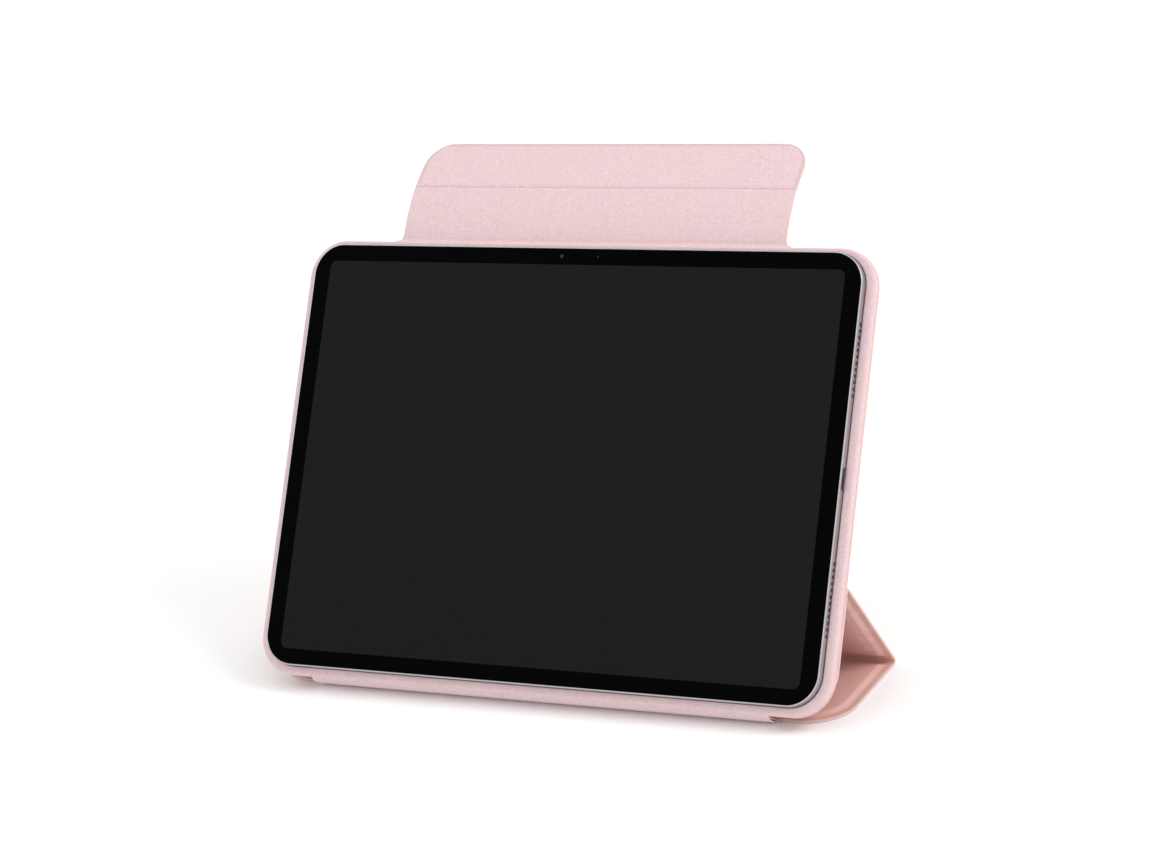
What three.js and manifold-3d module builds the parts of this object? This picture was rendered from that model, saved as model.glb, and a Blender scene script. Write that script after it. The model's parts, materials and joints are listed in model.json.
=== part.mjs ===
// A tablet computer held by its folding magnetic stand case.
// Millimetres, +X to the viewer's right, +Y to the back, +Z up, lowest panel of the stand on Z = 0.
// The tablet, the back panel and the flap are drawn in the tablet's own frame: x to the right,
// y up along the screen, z out of the screen, with z = 0 on the front of the glass.
// Every board, magnet and sheet of the case is its own body, and the four folds are hinges.
import * as THREE from "three";
import { mergeVertices } from "three/addons/utils/BufferGeometryUtils.js";
import Module from "manifold-3d";

// ---------- driving sizes: the tablet ----------
const TABLET_W = 249.7;
const TABLET_H = 177.5;
const TABLET_T = 5.3;
const TABLET_CORNER_R = 13;
const WALL = 1.6; // side wall of the housing
const FLOOR = 0.8; // rear wall of the housing
const GLASS_T = 0.7;
const GLASS_LIP = 0.55; // metal left outside the glass
const GLASS_FIT = 0.1; // slot all round the glass
const DISPLAY_BORDER_X = 7.0; // black border beside the picture
const DISPLAY_BORDER_Y = 6.4;
const DISPLAY_T = 0.8;
const BACKPLATE_T = 0.4;
const LAYER_GAP = 0.1; // between layers that lie on each other
const FIT = 0.3; // between pieces that sit beside each other
const BUTTON_L = 8.9;
const BUTTON_H = 1.3;
const BUTTON_PROUD = 0.45;
const BUTTON_DEPTH = 1.2;
const BUTTON_TRAVEL = 0.25;
const BUTTON_PITCH = 12.5;
const FIRST_BUTTON_IN = 24.4; // first volume button's middle from the left end
const POWER_BUTTON_DOWN = 17; // power button's middle from the top edge
const HOLE_COUNT = 12; // speaker holes in a group
const HOLE_PITCH = 2.54;
const HOLE_R = 0.72;
const SPEAKER_FROM_END = 42.05; // a speaker's middle from the top or bottom edge
const PORT_L = 9.0;
const PORT_H = 2.8;
const PORT_DEPTH = 6.8;
const PORT_SHELL_T = 0.25;
const TONGUE_T = 0.7;
const BUMP = 22.5; // rear camera plate, square
const BUMP_R = 7;
const BUMP_PROUD = 1.7;
const BUMP_IN = 20; // its middle from the left end and from the top edge
const LENS_R = 5.4;
const FLASH_R = 2.2;
const HOUSING_EDGE = [[1.1, 0], [0.35, 0.3], [0, 0.9]]; // rear edge: inset, height above the rear
const HOUSING_LIP = [0.2, 0.35]; // front edge: inset, depth
const BUMP_LENS_IN = 6.75; // lens centre from the camera plate's outer corner, each way
const BUMP_FLASH_IN = 5.6; // flash centre from the opposite corner
const FRONT_CAMERA_X = -8;
const FRONT_CAMERA_R = 1.5;
const LIGHT_SENSOR_X = 8.5;
const LIGHT_SENSOR_R = 0.9;
const DISPLAY_CORNER_R = 3;
const BATTERY_BOARD_GAP = 1.5;
const BATTERY_SPEAKER_GAP = 12.25; // room for the aerials beside the speakers
const BATTERY_MAGNET_GAP = 11.65;
const BATTERY_TOP_KEEP = 34.15; // room for the camera and connectors above the cells
const CELL_R = 2; // corners of the cells and speaker boxes
const BOARD_W = 42; // logic board across, in the middle of the tablet
const BOARD_LOW_KEEP = 12; // board's ends from the inner walls
const BOARD_HIGH_KEEP = 14;
const BOARD_R = 1.5;
const PCB_T = 0.8;
const SHIELD_END_IN = 12; // shield inside the board's ends
const SHIELD_SIDE_IN = 3;
const SCREW_IN = 5; // screws from the board's edges
const SCREW_HEAD_T = 0.6;
const FLEX_W = 18;
const FLEX_T = 0.4;
const FLEX_KEEP = 5; // cable's end from the inner wall
const SPEAKER_KEEP = 4; // speaker box to the side wall
const SHORT_SPEAKER = 0.5; // the speaker beside the camera: its share of the length
const SHORT_SPEAKER_PLACE = 0.62; // and its share of the others' distance from the middle
const SPEAKER_W = 21;
const SPEAKER_L = 44;
const SCREW_R = 1.1;
const SCREW_HEAD_R = 1.9;
const MAGNET_L = 60;
const MAGNET_W = 7;
const MAGNET_T = 1.6; // the tablet's magnets
const MAGNET_FROM_WALL = 7;
const MAGNET_FROM_BOARD = 8;
const SWITCH_T = 0.5;
const SWITCH_H = 1.8;
const TONGUE_SIDE_GAP = 1.3;
const TONGUE_BEHIND_MOUTH = 1;
const PORT_MOUTH_IN = 0.4;
const PORT_BACK_T = 0.5;
const PORT_BELOW_MIDDLE = 0.2;
const LENS_T = 0.8;
const LENS_RECESS = 0.2;

// ---------- driving sizes: the case ----------
const PANEL_INCLINE_DEG = 57.8; // screen above the table
const MARGIN_SIDE = 4.35; // back panel past the tablet
const MARGIN_TOP = 2.25;
const MARGIN_BOTTOM = 3.65;
const PANEL_CORNER_R = 16;
const LINING_T = 0.5;
const SKIN_T = 0.5;
const BOARD_T = 1.0;
const RIM_HEIGHT = 2.1; // crest of the soft rim above the floor the tablet lies on
const RIM_ROUND = 0.7; // rounding of the rim's outer edge
const RIM_CLEARANCE = 0.4; // tablet wall to rim
const SPINE_SLACK = 0.4; // spine past the closed case's exact thickness
const SPINE_LENGTH = 207;
const SPINE_OUT = 0.8; // upper spine fold below the panel's edge
const SPINE_ANGLE_DEG = -91.5; // in the tablet's y-z plane
const FOLD_R = 0.45; // laminated sheet at a fold
const STAND_1_FOLDS = 58.4; // fold to fold
const REAR_PANEL_DEG = 53.093; // second stand panel above the table
const FREE_EDGE_CLEARANCE = 4.693; // third panel's free edge to the first panel, down the slope
const STAND_CORNER_R = 17;
const FOLD_EDGE = 2.2; // panel edge to the middle of its fold
const SPINE_EDGE = 1.0;
const FLANGE = 2.7; // flat border of a stand panel
const SLOPE = 2.5; // sloped border round its raised middle
const STAND_GAP = 0.2; // third stand panel to the back panel
const FLAP_W = 175;
const FLAP_FOLD_OUT = 0.9; // flap's lower fold above the panel's edge
const FLAP_FOLD_EDGE = 0.8;
const STRIP_LENGTH = 24.4;
const STRIP_BEND_DEG = 19;
const TAB_LENGTH = 22.6;
const TAB_LEAN_DEG = 25.3;
const TAB_CORNER_R = 12;
const TAB_FLANGE = 1.7;
const TAB_SLOPE = 0.8;
const CAMERA_CUT_CLEARANCE = 1.4; // round the camera plate
const SKIN_ROUND = 0.3;
const BOARD_INSET = 1.5; // the back panel's board inside its edge
const SLOT_FIT = 0.2; // round a magnet in its board
const STAND_MAGNET_IN = 13; // third panel's magnets from its free edge
const SQUARE_R = 1.2; // corners beside a fold
const SPINE_CORNER_R = 0.6;
const FOLD_SHORT = 1; // a fold shorter than its panels
const CORE_FIT = 0.1; // foam core inside the fabric

// ---------- worked out from them ----------
const ARC_STEPS = 7;
const THETA = THREE.MathUtils.degToRad(PANEL_INCLINE_DEG);
const PANEL_W = TABLET_W + 2 * MARGIN_SIDE;
const PANEL_TOP = TABLET_H / 2 + MARGIN_TOP;
const PANEL_BOTTOM = -TABLET_H / 2 - MARGIN_BOTTOM;
const FLANGE_T = LINING_T + LAYER_GAP + SKIN_T;
const PLATEAU_T = LINING_T + BOARD_T + SKIN_T + 2 * LAYER_GAP;
const FOLD_H = FLANGE_T / 2; // a fold's height above the lining's face
const BASE_FRONT_Z = -TABLET_T - FIT;
const RIM_TOP_Z = BASE_FRONT_Z + RIM_HEIGHT;
const SPINE_W = TABLET_T + FIT + PLATEAU_T / 2 + FOLD_H + SPINE_SLACK; // fold to fold
const BASE_REAR_Z = BASE_FRONT_Z - PLATEAU_T;
const PANEL_MID_Z = (BASE_FRONT_Z + BASE_REAR_Z) / 2;
const BOARD_FRONT_Z = BASE_FRONT_Z - LINING_T - LAYER_GAP;
const INNER_FRONT_Z = -GLASS_T - DISPLAY_T - BACKPLATE_T - 3 * LAYER_GAP;
const INNER_REAR_Z = -TABLET_T + FLOOR + LAYER_GAP;
const INNER_T = INNER_FRONT_Z - INNER_REAR_Z;
const BUTTON_Z = -TABLET_T / 2;
const PORT_Z = -TABLET_T / 2 - PORT_BELOW_MIDDLE;

const wasm = await Module();
wasm.setup();

// ---------- geometry helpers ----------
// A rounded rectangle between two corners, anticlockwise; radii run from the bottom left corner.
function roundedRect(x0, y0, x1, y1, radii) {
  const r = Array.isArray(radii) ? radii : [radii, radii, radii, radii];
  const corners = [
    [x0 + r[0], y0 + r[0], r[0], Math.PI],
    [x1 - r[1], y0 + r[1], r[1], 1.5 * Math.PI],
    [x1 - r[2], y1 - r[2], r[2], 0],
    [x0 + r[3], y1 - r[3], r[3], 0.5 * Math.PI],
  ];
  const points = [];
  for (const [cx, cy, radius, start] of corners)
    for (let i = 0; i <= ARC_STEPS; i++) {
      const a = start + (i / ARC_STEPS) * 0.5 * Math.PI;
      points.push(new THREE.Vector2(cx + radius * Math.cos(a), cy + radius * Math.sin(a)));
    }
  return points;
}

// The same rectangle moved inwards by d, with the same number of points.
const MIN_R = 0.05;
function centredRect(w, h, r, d = 0, cx = 0, cy = 0) {
  const radius = Math.max(r - d, MIN_R);
  return roundedRect(cx - w / 2 + d, cy - h / 2 + d, cx + w / 2 - d, cy + h / 2 - d, radius);
}

// A closed solid through outlines of equal point counts, given from the lowest z up.
function loft(levels) {
  const n = levels[0].points.length;
  const position = [];
  for (const { points, z } of levels) for (const p of points) position.push(p.x, p.y, z);
  const index = [];
  for (let k = 0; k + 1 < levels.length; k++)
    for (let i = 0; i < n; i++) {
      const a = k * n + i;
      const b = k * n + ((i + 1) % n);
      index.push(a, b, b + n, a, b + n, a + n);
    }
  const top = (levels.length - 1) * n;
  for (const [a, b, c] of THREE.ShapeUtils.triangulateShape(levels[0].points, []))
    index.push(a, c, b);
  for (const [a, b, c] of THREE.ShapeUtils.triangulateShape(levels.at(-1).points, []))
    index.push(top + a, top + b, top + c);
  const g = new THREE.BufferGeometry();
  g.setAttribute("position", new THREE.Float32BufferAttribute(position, 3));
  g.setIndex(index);
  return g;
}

const plate = (points, z0, z1) => loft([{ points, z: z0 }, { points, z: z1 }]);
const box = (x0, y0, z0, x1, y1, z1) =>
  new THREE.BoxGeometry(x1 - x0, y1 - y0, z1 - z0).translate(
    (x0 + x1) / 2, (y0 + y1) / 2, (z0 + z1) / 2);

function solid(geometry) {
  const g = geometry.clone();
  g.deleteAttribute("normal");
  g.deleteAttribute("uv");
  const merged = mergeVertices(g, 1e-4);
  return new wasm.Manifold(new wasm.Mesh({
    numProp: 3,
    vertProperties: new Float32Array(merged.attributes.position.array),
    triVerts: new Uint32Array(merged.index.array),
  }));
}

function fromSolid(manifold) {
  const m = manifold.getMesh();
  const g = new THREE.BufferGeometry();
  g.setAttribute("position", new THREE.Float32BufferAttribute(m.vertProperties, 3));
  g.setIndex(new THREE.BufferAttribute(new Uint32Array(m.triVerts), 1));
  return g;
}

const cut = (body, ...tools) =>
  fromSolid(tools.reduce((rest, tool) => rest.subtract(solid(tool)), solid(body)));
const join = (...bodies) =>
  fromSolid(bodies.map(solid).reduce((sum, body) => sum.add(body)));

// A stadium-shaped bar along x or y, between two z values or along another axis.
function slotBar(length, height, depth) {
  const points = centredRect(length, height, height / 2 - MIN_R);
  return plate(points, -depth / 2, depth / 2);
}

// ---------- materials ----------
const material = (color, roughness, metalness = 0) =>
  new THREE.MeshStandardMaterial({ color, roughness, metalness });
const looks = {
  aluminium: () => material(0x9b9ea0, 0.38, 1),
  glass: () => material(0x050506, 0.08),
  display: () => material(0x202020, 0.35),
  steel: () => material(0xb9bcc0, 0.3, 1),
  board: () => material(0x1f4a3a, 0.6),
  battery: () => material(0x24262a, 0.55),
  plastic: () => material(0x17181a, 0.5),
  lens: () => material(0x0a0b10, 0.05),
  copper: () => material(0xc08a52, 0.45, 0.8),
  magnet: () => material(0x8d8f92, 0.35, 1),
  fibre: () => material(0xe8cccf, 0.9),
  leather: () => material(0xc98f84, 0.55),
  greyboard: () => material(0x8b8378, 0.85),
  foam: () => material(0xd8d2cc, 0.95),
};

function node(parent, name, geometry, look) {
  const mesh = new THREE.Mesh(geometry, looks[look]());
  mesh.name = name;
  parent.add(mesh);
  return mesh;
}

// ---------- the tablet ----------
const tablet = new THREE.Group();
const EDGE_X = TABLET_W / 2;
const EDGE_Y = TABLET_H / 2;
const BUTTON_SLOT = 2 * (WALL + 1);
const buttonsX = [-EDGE_X + FIRST_BUTTON_IN, -EDGE_X + FIRST_BUTTON_IN + BUTTON_PITCH];
const POWER_Y = EDGE_Y - POWER_BUTTON_DOWN;
const BUMP_X = -EDGE_X + BUMP_IN;
const BUMP_Y = EDGE_Y - BUMP_IN;
const lensOff = BUMP / 2 - BUMP_LENS_IN;
const flashOff = BUMP / 2 - BUMP_FLASH_IN;
const LENS_AT = [BUMP_X - lensOff, BUMP_Y + lensOff];
const FLASH_AT = [BUMP_X + flashOff, BUMP_Y - flashOff];
const SPEAKER_Y = EDGE_Y - SPEAKER_FROM_END;
const OPEN = 1; // how far a cutting tool runs past the face it opens

function alongX(geometry) {
  return geometry.rotateX(Math.PI / 2).rotateZ(Math.PI / 2);
}

function housing() {
  const level = (d, z) => ({ points: centredRect(TABLET_W, TABLET_H, TABLET_CORNER_R, d), z });
  const shell = loft([
    ...HOUSING_EDGE.map(([inset, height]) => level(inset, height - TABLET_T)),
    level(0, -HOUSING_LIP[1]), level(HOUSING_LIP[0], 0),
  ]);
  const ledge = GLASS_LIP - GLASS_FIT;
  const glassSeat = plate(centredRect(TABLET_W, TABLET_H, TABLET_CORNER_R, ledge),
    -GLASS_T - LAYER_GAP, OPEN);
  const hollow = plate(centredRect(TABLET_W, TABLET_H, TABLET_CORNER_R, WALL),
    -TABLET_T + FLOOR, OPEN);
  const tools = [glassSeat, hollow];
  const gridStart = -((HOLE_COUNT - 1) / 2) * HOLE_PITCH;
  for (const side of [-1, 1])
    for (const group of [-1, 1])
      for (let i = 0; i < HOLE_COUNT; i++) {
        const y = group * SPEAKER_Y + gridStart + i * HOLE_PITCH;
        const hole = new THREE.CylinderGeometry(HOLE_R, HOLE_R, 2 * WALL, 8);
        tools.push(hole.rotateZ(Math.PI / 2).translate(side * EDGE_X, y, BUTTON_Z));
      }
  const port = slotBar(PORT_L + 2 * FIT, PORT_H + 2 * FIT, 3 * WALL);
  tools.push(alongX(port).translate(EDGE_X, 0, PORT_Z));
  for (const x of buttonsX) {
    const slot = slotBar(BUTTON_L + 2 * FIT, BUTTON_H + 2 * FIT, BUTTON_SLOT);
    tools.push(slot.rotateX(Math.PI / 2).translate(x, EDGE_Y, BUTTON_Z));
  }
  const powerSlot = slotBar(BUTTON_L + 2 * FIT, BUTTON_H + 2 * FIT, BUTTON_SLOT);
  tools.push(alongX(powerSlot).translate(-EDGE_X, POWER_Y, BUTTON_Z));
  for (const [x, y, r] of [[...LENS_AT, LENS_R + FIT], [...FLASH_AT, FLASH_R + FIT]]) {
    const hole = new THREE.CylinderGeometry(r, r, 3 * FLOOR, 28);
    tools.push(hole.rotateX(Math.PI / 2).translate(x, y, -TABLET_T + FLOOR / 2));
  }
  return cut(shell, ...tools);
}
node(tablet, "rear_housing", housing(), "aluminium");

const GLASS_BEVEL = 0.15;
const glassOutline = (d) => centredRect(TABLET_W, TABLET_H, TABLET_CORNER_R, GLASS_LIP + d);
node(tablet, "cover_glass", loft([
  { points: glassOutline(0), z: -GLASS_T }, { points: glassOutline(0), z: -GLASS_BEVEL },
  { points: glassOutline(GLASS_BEVEL), z: 0 },
]), "glass");

const displayZ = -GLASS_T - LAYER_GAP;
const displayPoints = roundedRect(
  -EDGE_X + DISPLAY_BORDER_X + GLASS_LIP, -EDGE_Y + DISPLAY_BORDER_Y + GLASS_LIP,
  EDGE_X - DISPLAY_BORDER_X - GLASS_LIP, EDGE_Y - DISPLAY_BORDER_Y - GLASS_LIP,
  DISPLAY_CORNER_R);
node(tablet, "display_panel", plate(displayPoints, displayZ - DISPLAY_T, displayZ), "display");
const backplateZ = displayZ - DISPLAY_T - LAYER_GAP;
const PLATE_INSET = WALL + FIT;
const plateNotch = box(EDGE_X - PORT_DEPTH - OPEN, -PORT_L / 2 - FIT, -TABLET_T,
  EDGE_X, PORT_L / 2 + FIT, 0);
node(tablet, "display_backplate", cut(
  plate(centredRect(TABLET_W, TABLET_H, TABLET_CORNER_R, PLATE_INSET),
    backplateZ - BACKPLATE_T, backplateZ), plateNotch), "steel");

// Front camera and light sensor, in the black border above the picture.
const BORDER_Y = EDGE_Y - GLASS_LIP - DISPLAY_BORDER_Y / 2;
for (const [name, x, r] of [["front_camera", FRONT_CAMERA_X, FRONT_CAMERA_R],
  ["light_sensor", LIGHT_SENSOR_X, LIGHT_SENSOR_R]]) {
  const lens = new THREE.CylinderGeometry(r, r, DISPLAY_T, 20).rotateX(Math.PI / 2);
  node(tablet, name, lens.translate(x, BORDER_Y, displayZ - DISPLAY_T / 2), "lens");
}

// Batteries either side of the logic board, speakers in the four corners.
const inner = (x0, y0, x1, y1, r, t = INNER_T) =>
  plate(roundedRect(x0, y0, x1, y1, r), INNER_REAR_Z, INNER_REAR_Z + t);
const HALF_BOARD = BOARD_W / 2;
const speakerFar = EDGE_X - WALL - SPEAKER_KEEP;
const speakerNear = speakerFar - SPEAKER_W / 2;
const magnetY = -EDGE_Y + WALL + MAGNET_FROM_WALL;
const cellNear = HALF_BOARD + BATTERY_BOARD_GAP;
const cellFar = speakerNear - BATTERY_SPEAKER_GAP;
const cellLow = magnetY + MAGNET_W / 2 + BATTERY_MAGNET_GAP;
const cellHigh = EDGE_Y - WALL - BATTERY_TOP_KEEP;
node(tablet, "battery_cell_left", inner(-cellFar, cellLow, -cellNear, cellHigh, CELL_R), "battery");
node(tablet, "battery_cell_right", inner(cellNear, cellLow, cellFar, cellHigh, CELL_R), "battery");
for (const [sx, sideName] of [[-1, "left"], [1, "right"]])
  for (const [sy, levelName] of [[-1, "lower"], [1, "upper"]]) {
    const short = sx < 0 && sy > 0;
    const mid = sy * SPEAKER_Y * (short ? SHORT_SPEAKER_PLACE : 1);
    const half = (SPEAKER_L / 2) * (short ? SHORT_SPEAKER : 1);
    const [x0, x1] = sx < 0 ? [-speakerFar, -speakerNear] : [speakerNear, speakerFar];
    node(tablet, `speaker_${levelName}_${sideName}`,
      inner(x0, mid - half, x1, mid + half, CELL_R), "plastic");
  }

const boardLow = -EDGE_Y + WALL + BOARD_LOW_KEEP;
const boardHigh = EDGE_Y - WALL - BOARD_HIGH_KEEP;
const screwAt = [-1, 1].flatMap((sx) => [boardLow + SCREW_IN, boardHigh - SCREW_IN]
  .map((y) => [sx * (HALF_BOARD - SCREW_IN), y]));
const screwHoles = screwAt.map(([x, y]) =>
  new THREE.CylinderGeometry(SCREW_R + FIT, SCREW_R + FIT, 5 * PCB_T, 16).rotateX(Math.PI / 2)
    .translate(x, y, INNER_REAR_Z + PCB_T / 2));
node(tablet, "logic_board",
  cut(inner(-HALF_BOARD, boardLow, HALF_BOARD, boardHigh, BOARD_R, PCB_T), ...screwHoles), "board");
node(tablet, "board_shield", plate(
  roundedRect(-HALF_BOARD + SHIELD_SIDE_IN, boardLow + SHIELD_END_IN,
    HALF_BOARD - SHIELD_SIDE_IN, boardHigh - SHIELD_END_IN, BOARD_R),
  INNER_REAR_Z + PCB_T + LAYER_GAP, INNER_FRONT_Z), "steel");
screwAt.forEach(([x, y], i) => {
  const headZ = INNER_REAR_Z + PCB_T + LAYER_GAP;
  const profile = [[0, INNER_REAR_Z], [SCREW_R, INNER_REAR_Z], [SCREW_R, headZ],
    [SCREW_HEAD_R, headZ], [SCREW_HEAD_R, headZ + SCREW_HEAD_T], [0, headZ + SCREW_HEAD_T]];
  const screw = new THREE.LatheGeometry(profile.map((p) => new THREE.Vector2(...p)), 16);
  node(tablet, `board_screw_${i + 1}`, screw.rotateX(Math.PI / 2).translate(x, y, 0), "steel");
});
node(tablet, "display_flex_cable",
  inner(-FLEX_W / 2, boardHigh + FIT, FLEX_W / 2, EDGE_Y - WALL - FLEX_KEEP, BOARD_R, FLEX_T),
  "copper");

// Bar magnets that hold the tablet to the case, below the batteries.
const magnetX = (side) => side * (HALF_BOARD + MAGNET_L / 2 + MAGNET_FROM_BOARD);
const bar = (x, y, z0, z1, l = MAGNET_L, w = MAGNET_W) =>
  box(x - l / 2, y - w / 2, z0, x + l / 2, y + w / 2, z1);
for (const [name, side] of [["left", -1], ["right", 1]])
  node(tablet, `tablet_magnet_${name}`,
    bar(magnetX(side), magnetY, INNER_REAR_Z, INNER_REAR_Z + MAGNET_T), "magnet");

// Socket on the right end: a folded metal shell with the contact tongue inside it.
const portMouthX = EDGE_X - PORT_MOUTH_IN;
const shellOuter = slotBar(PORT_L, PORT_H, PORT_DEPTH);
const shellInner = slotBar(PORT_L - 2 * PORT_SHELL_T, PORT_H - 2 * PORT_SHELL_T, PORT_DEPTH);
const shellAt = portMouthX - PORT_DEPTH / 2;
node(tablet, "usb_c_shell", cut(
  alongX(shellOuter).translate(shellAt, 0, PORT_Z),
  alongX(shellInner).translate(shellAt + PORT_BACK_T, 0, PORT_Z)), "steel");
const tongueBack = portMouthX - PORT_DEPTH + PORT_BACK_T + LAYER_GAP;
node(tablet, "usb_c_tongue", box(
  tongueBack, -PORT_L / 2 + TONGUE_SIDE_GAP, PORT_Z - TONGUE_T / 2,
  portMouthX - TONGUE_BEHIND_MOUTH, PORT_L / 2 - TONGUE_SIDE_GAP, PORT_Z + TONGUE_T / 2), "plastic");

// Buttons: a rounded cap with a shoulder inside the wall, over a switch board.
const button = () => {
  const cap = slotBar(BUTTON_L, BUTTON_H, BUTTON_DEPTH + BUTTON_PROUD);
  return cap.translate(0, 0, (BUTTON_PROUD - BUTTON_DEPTH) / 2);
};
const volumeNames = ["volume_up_button", "volume_down_button"];
buttonsX.forEach((x, i) => node(tablet, volumeNames[i],
  button().rotateX(-Math.PI / 2).translate(x, EDGE_Y, BUTTON_Z), "aluminium"));
node(tablet, "power_button",
  button().rotateX(-Math.PI / 2).rotateZ(Math.PI / 2).translate(-EDGE_X, POWER_Y, BUTTON_Z),
  "aluminium");
const switchGap = BUTTON_DEPTH + BUTTON_TRAVEL + FIT;
const volumeMid = (buttonsX[0] + buttonsX[1]) / 2;
const volumeHalf = BUTTON_PITCH / 2 + BUTTON_L / 2;
node(tablet, "volume_switch_board", box(volumeMid - volumeHalf, EDGE_Y - switchGap - SWITCH_T,
  BUTTON_Z - SWITCH_H / 2, volumeMid + volumeHalf, EDGE_Y - switchGap,
  INNER_FRONT_Z - LAYER_GAP), "board");
node(tablet, "power_switch_board", box(-EDGE_X + switchGap, POWER_Y - BUTTON_L / 2,
  BUTTON_Z - SWITCH_H / 2, -EDGE_X + switchGap + SWITCH_T, POWER_Y + BUTTON_L / 2,
  INNER_FRONT_Z - LAYER_GAP), "board");

// Rear camera: a raised plate outside, the module inside, its lens and the flash between.
const bumpZ = -TABLET_T - LAYER_GAP;
const bumpLevel = (d, z) => ({ points: centredRect(BUMP, BUMP, BUMP_R, d, BUMP_X, BUMP_Y), z });
const BUMP_EDGE = [0.5, 0.4]; // its bevel: inset, height
const bumpPlate = loft([bumpLevel(BUMP_EDGE[0], bumpZ - BUMP_PROUD),
  bumpLevel(0, bumpZ - BUMP_PROUD + BUMP_EDGE[1]), bumpLevel(0, bumpZ)]);
const round = (at, r, z0, z1, n = 28) =>
  new THREE.CylinderGeometry(r, r, z1 - z0, n).rotateX(Math.PI / 2)
    .translate(at[0], at[1], (z0 + z1) / 2);
const through = (at, r) => round(at, r, bumpZ - BUMP_PROUD - OPEN, bumpZ + OPEN);
node(tablet, "rear_camera_plate", cut(bumpPlate, through(LENS_AT, LENS_R),
  through(FLASH_AT, FLASH_R)), "aluminium");
const lensRear = bumpZ - BUMP_PROUD + LENS_RECESS;
node(tablet, "rear_camera_lens",
  round(LENS_AT, LENS_R - GLASS_FIT, lensRear, lensRear + LENS_T), "lens");
node(tablet, "rear_camera_module",
  round(LENS_AT, LENS_R - FIT, lensRear + LENS_T + LAYER_GAP, INNER_FRONT_Z - LAYER_GAP), "plastic");
node(tablet, "flash_window",
  round(FLASH_AT, FLASH_R - GLASS_FIT, lensRear, INNER_REAR_Z, 20), "lens");

// ---------- the back panel ----------
const backPanel = new THREE.Group();
const panelRect = (d) => roundedRect(-PANEL_W / 2 + d, PANEL_BOTTOM + d, PANEL_W / 2 - d,
  PANEL_TOP - d, PANEL_CORNER_R - d);
const cameraCut = () => plate(centredRect(BUMP, BUMP, BUMP_R, -CAMERA_CUT_CLEARANCE,
  BUMP_X, BUMP_Y), BASE_REAR_Z - OPEN, OPEN);
const wellRect = (d) => centredRect(TABLET_W, TABLET_H, TABLET_CORNER_R, d);

// The fabric lines the well and turns over the soft rim that stands round the tablet.
const liningBody = loft([
  { points: panelRect(0), z: BASE_FRONT_Z - LINING_T },
  { points: panelRect(0), z: RIM_TOP_Z - RIM_ROUND },
  { points: panelRect(RIM_ROUND), z: RIM_TOP_Z },
]);
const well = plate(wellRect(-RIM_CLEARANCE), BASE_FRONT_Z, OPEN);
const coreOuter = RIM_ROUND + CORE_FIT;
const coreTop = RIM_TOP_Z - LINING_T - LAYER_GAP;
const coreWell = -RIM_CLEARANCE - LINING_T;
const coreFoot = BASE_FRONT_Z - LINING_T;
const channel = cut(plate(panelRect(coreOuter - LAYER_GAP), coreFoot - OPEN, coreTop + LAYER_GAP),
  plate(wellRect(coreWell + LAYER_GAP), coreFoot - 2 * OPEN, coreTop + OPEN));
const rimCore = cut(plate(panelRect(coreOuter), coreFoot, coreTop),
  plate(wellRect(coreWell), coreFoot - OPEN, coreTop + OPEN));
node(backPanel, "back_panel_lining", cut(liningBody, well, channel, cameraCut()), "fibre");
node(backPanel, "back_panel_rim_core", rimCore, "foam");
const backMagnets = [-1, 1].map((side) => [magnetX(side), magnetY]);
const boardBar = ([x, y], z0, z1, d = 0, l = MAGNET_L) =>
  bar(x, y, z0, z1, l + 2 * d, MAGNET_W + 2 * d);
node(backPanel, "back_panel_board", cut(
  plate(panelRect(BOARD_INSET), BOARD_FRONT_Z - BOARD_T, BOARD_FRONT_Z), cameraCut(),
  ...backMagnets.map((at) => boardBar(at, BASE_REAR_Z, 0, SLOT_FIT))), "greyboard");
backMagnets.forEach((at, i) => node(backPanel, `back_panel_magnet_${i ? "right" : "left"}`,
  boardBar(at, BOARD_FRONT_Z - BOARD_T, BOARD_FRONT_Z), "magnet"));
node(backPanel, "back_panel_skin", cut(loft([
  { points: panelRect(SKIN_ROUND), z: BASE_REAR_Z },
  { points: panelRect(0), z: BASE_REAR_Z + SKIN_ROUND },
  { points: panelRect(0), z: BASE_REAR_Z + SKIN_T },
]), cameraCut()), "leather");

// ---------- flexible sheets and stiff panels of the case ----------
// A panel lies from y = near to y = far in its own frame, fabric down on z = 0 and skin up:
// the skin has a flat border, a slope, and a raised middle over the board.
function stiffPanel(group, name, x, near, far, radii, border, slope, magnets = []) {
  const outline = (d) => roundedRect(-x + d, near + d, x - d, far - d,
    radii.map((r) => Math.max(r - d, MIN_R)));
  const boardZ = LINING_T + LAYER_GAP;
  const inset = border + slope;
  node(group, `${name}_lining`, plate(outline(0), 0, LINING_T), "fibre");
  const slots = magnets.map((at) => boardBar(at, 0, PLATEAU_T, SLOT_FIT));
  node(group, `${name}_board`,
    cut(plate(outline(inset), boardZ, boardZ + BOARD_T), ...slots), "greyboard");
  magnets.forEach((at, i) => node(group,
    magnets.length > 1 ? `${name}_magnet_${i ? "right" : "left"}` : `${name}_magnet`,
    boardBar(at, boardZ, boardZ + BOARD_T), "magnet"));
  const flange = plate(outline(0), boardZ, FLANGE_T);
  const raised = loft([
    { points: outline(border), z: boardZ },
    { points: outline(border), z: FLANGE_T },
    { points: outline(inset - SKIN_T), z: PLATEAU_T },
  ]);
  const pocket = plate(outline(inset - LAYER_GAP), 0, boardZ + BOARD_T + LAYER_GAP);
  node(group, `${name}_skin`, cut(join(flange, raised), pocket), "leather");
}

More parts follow.
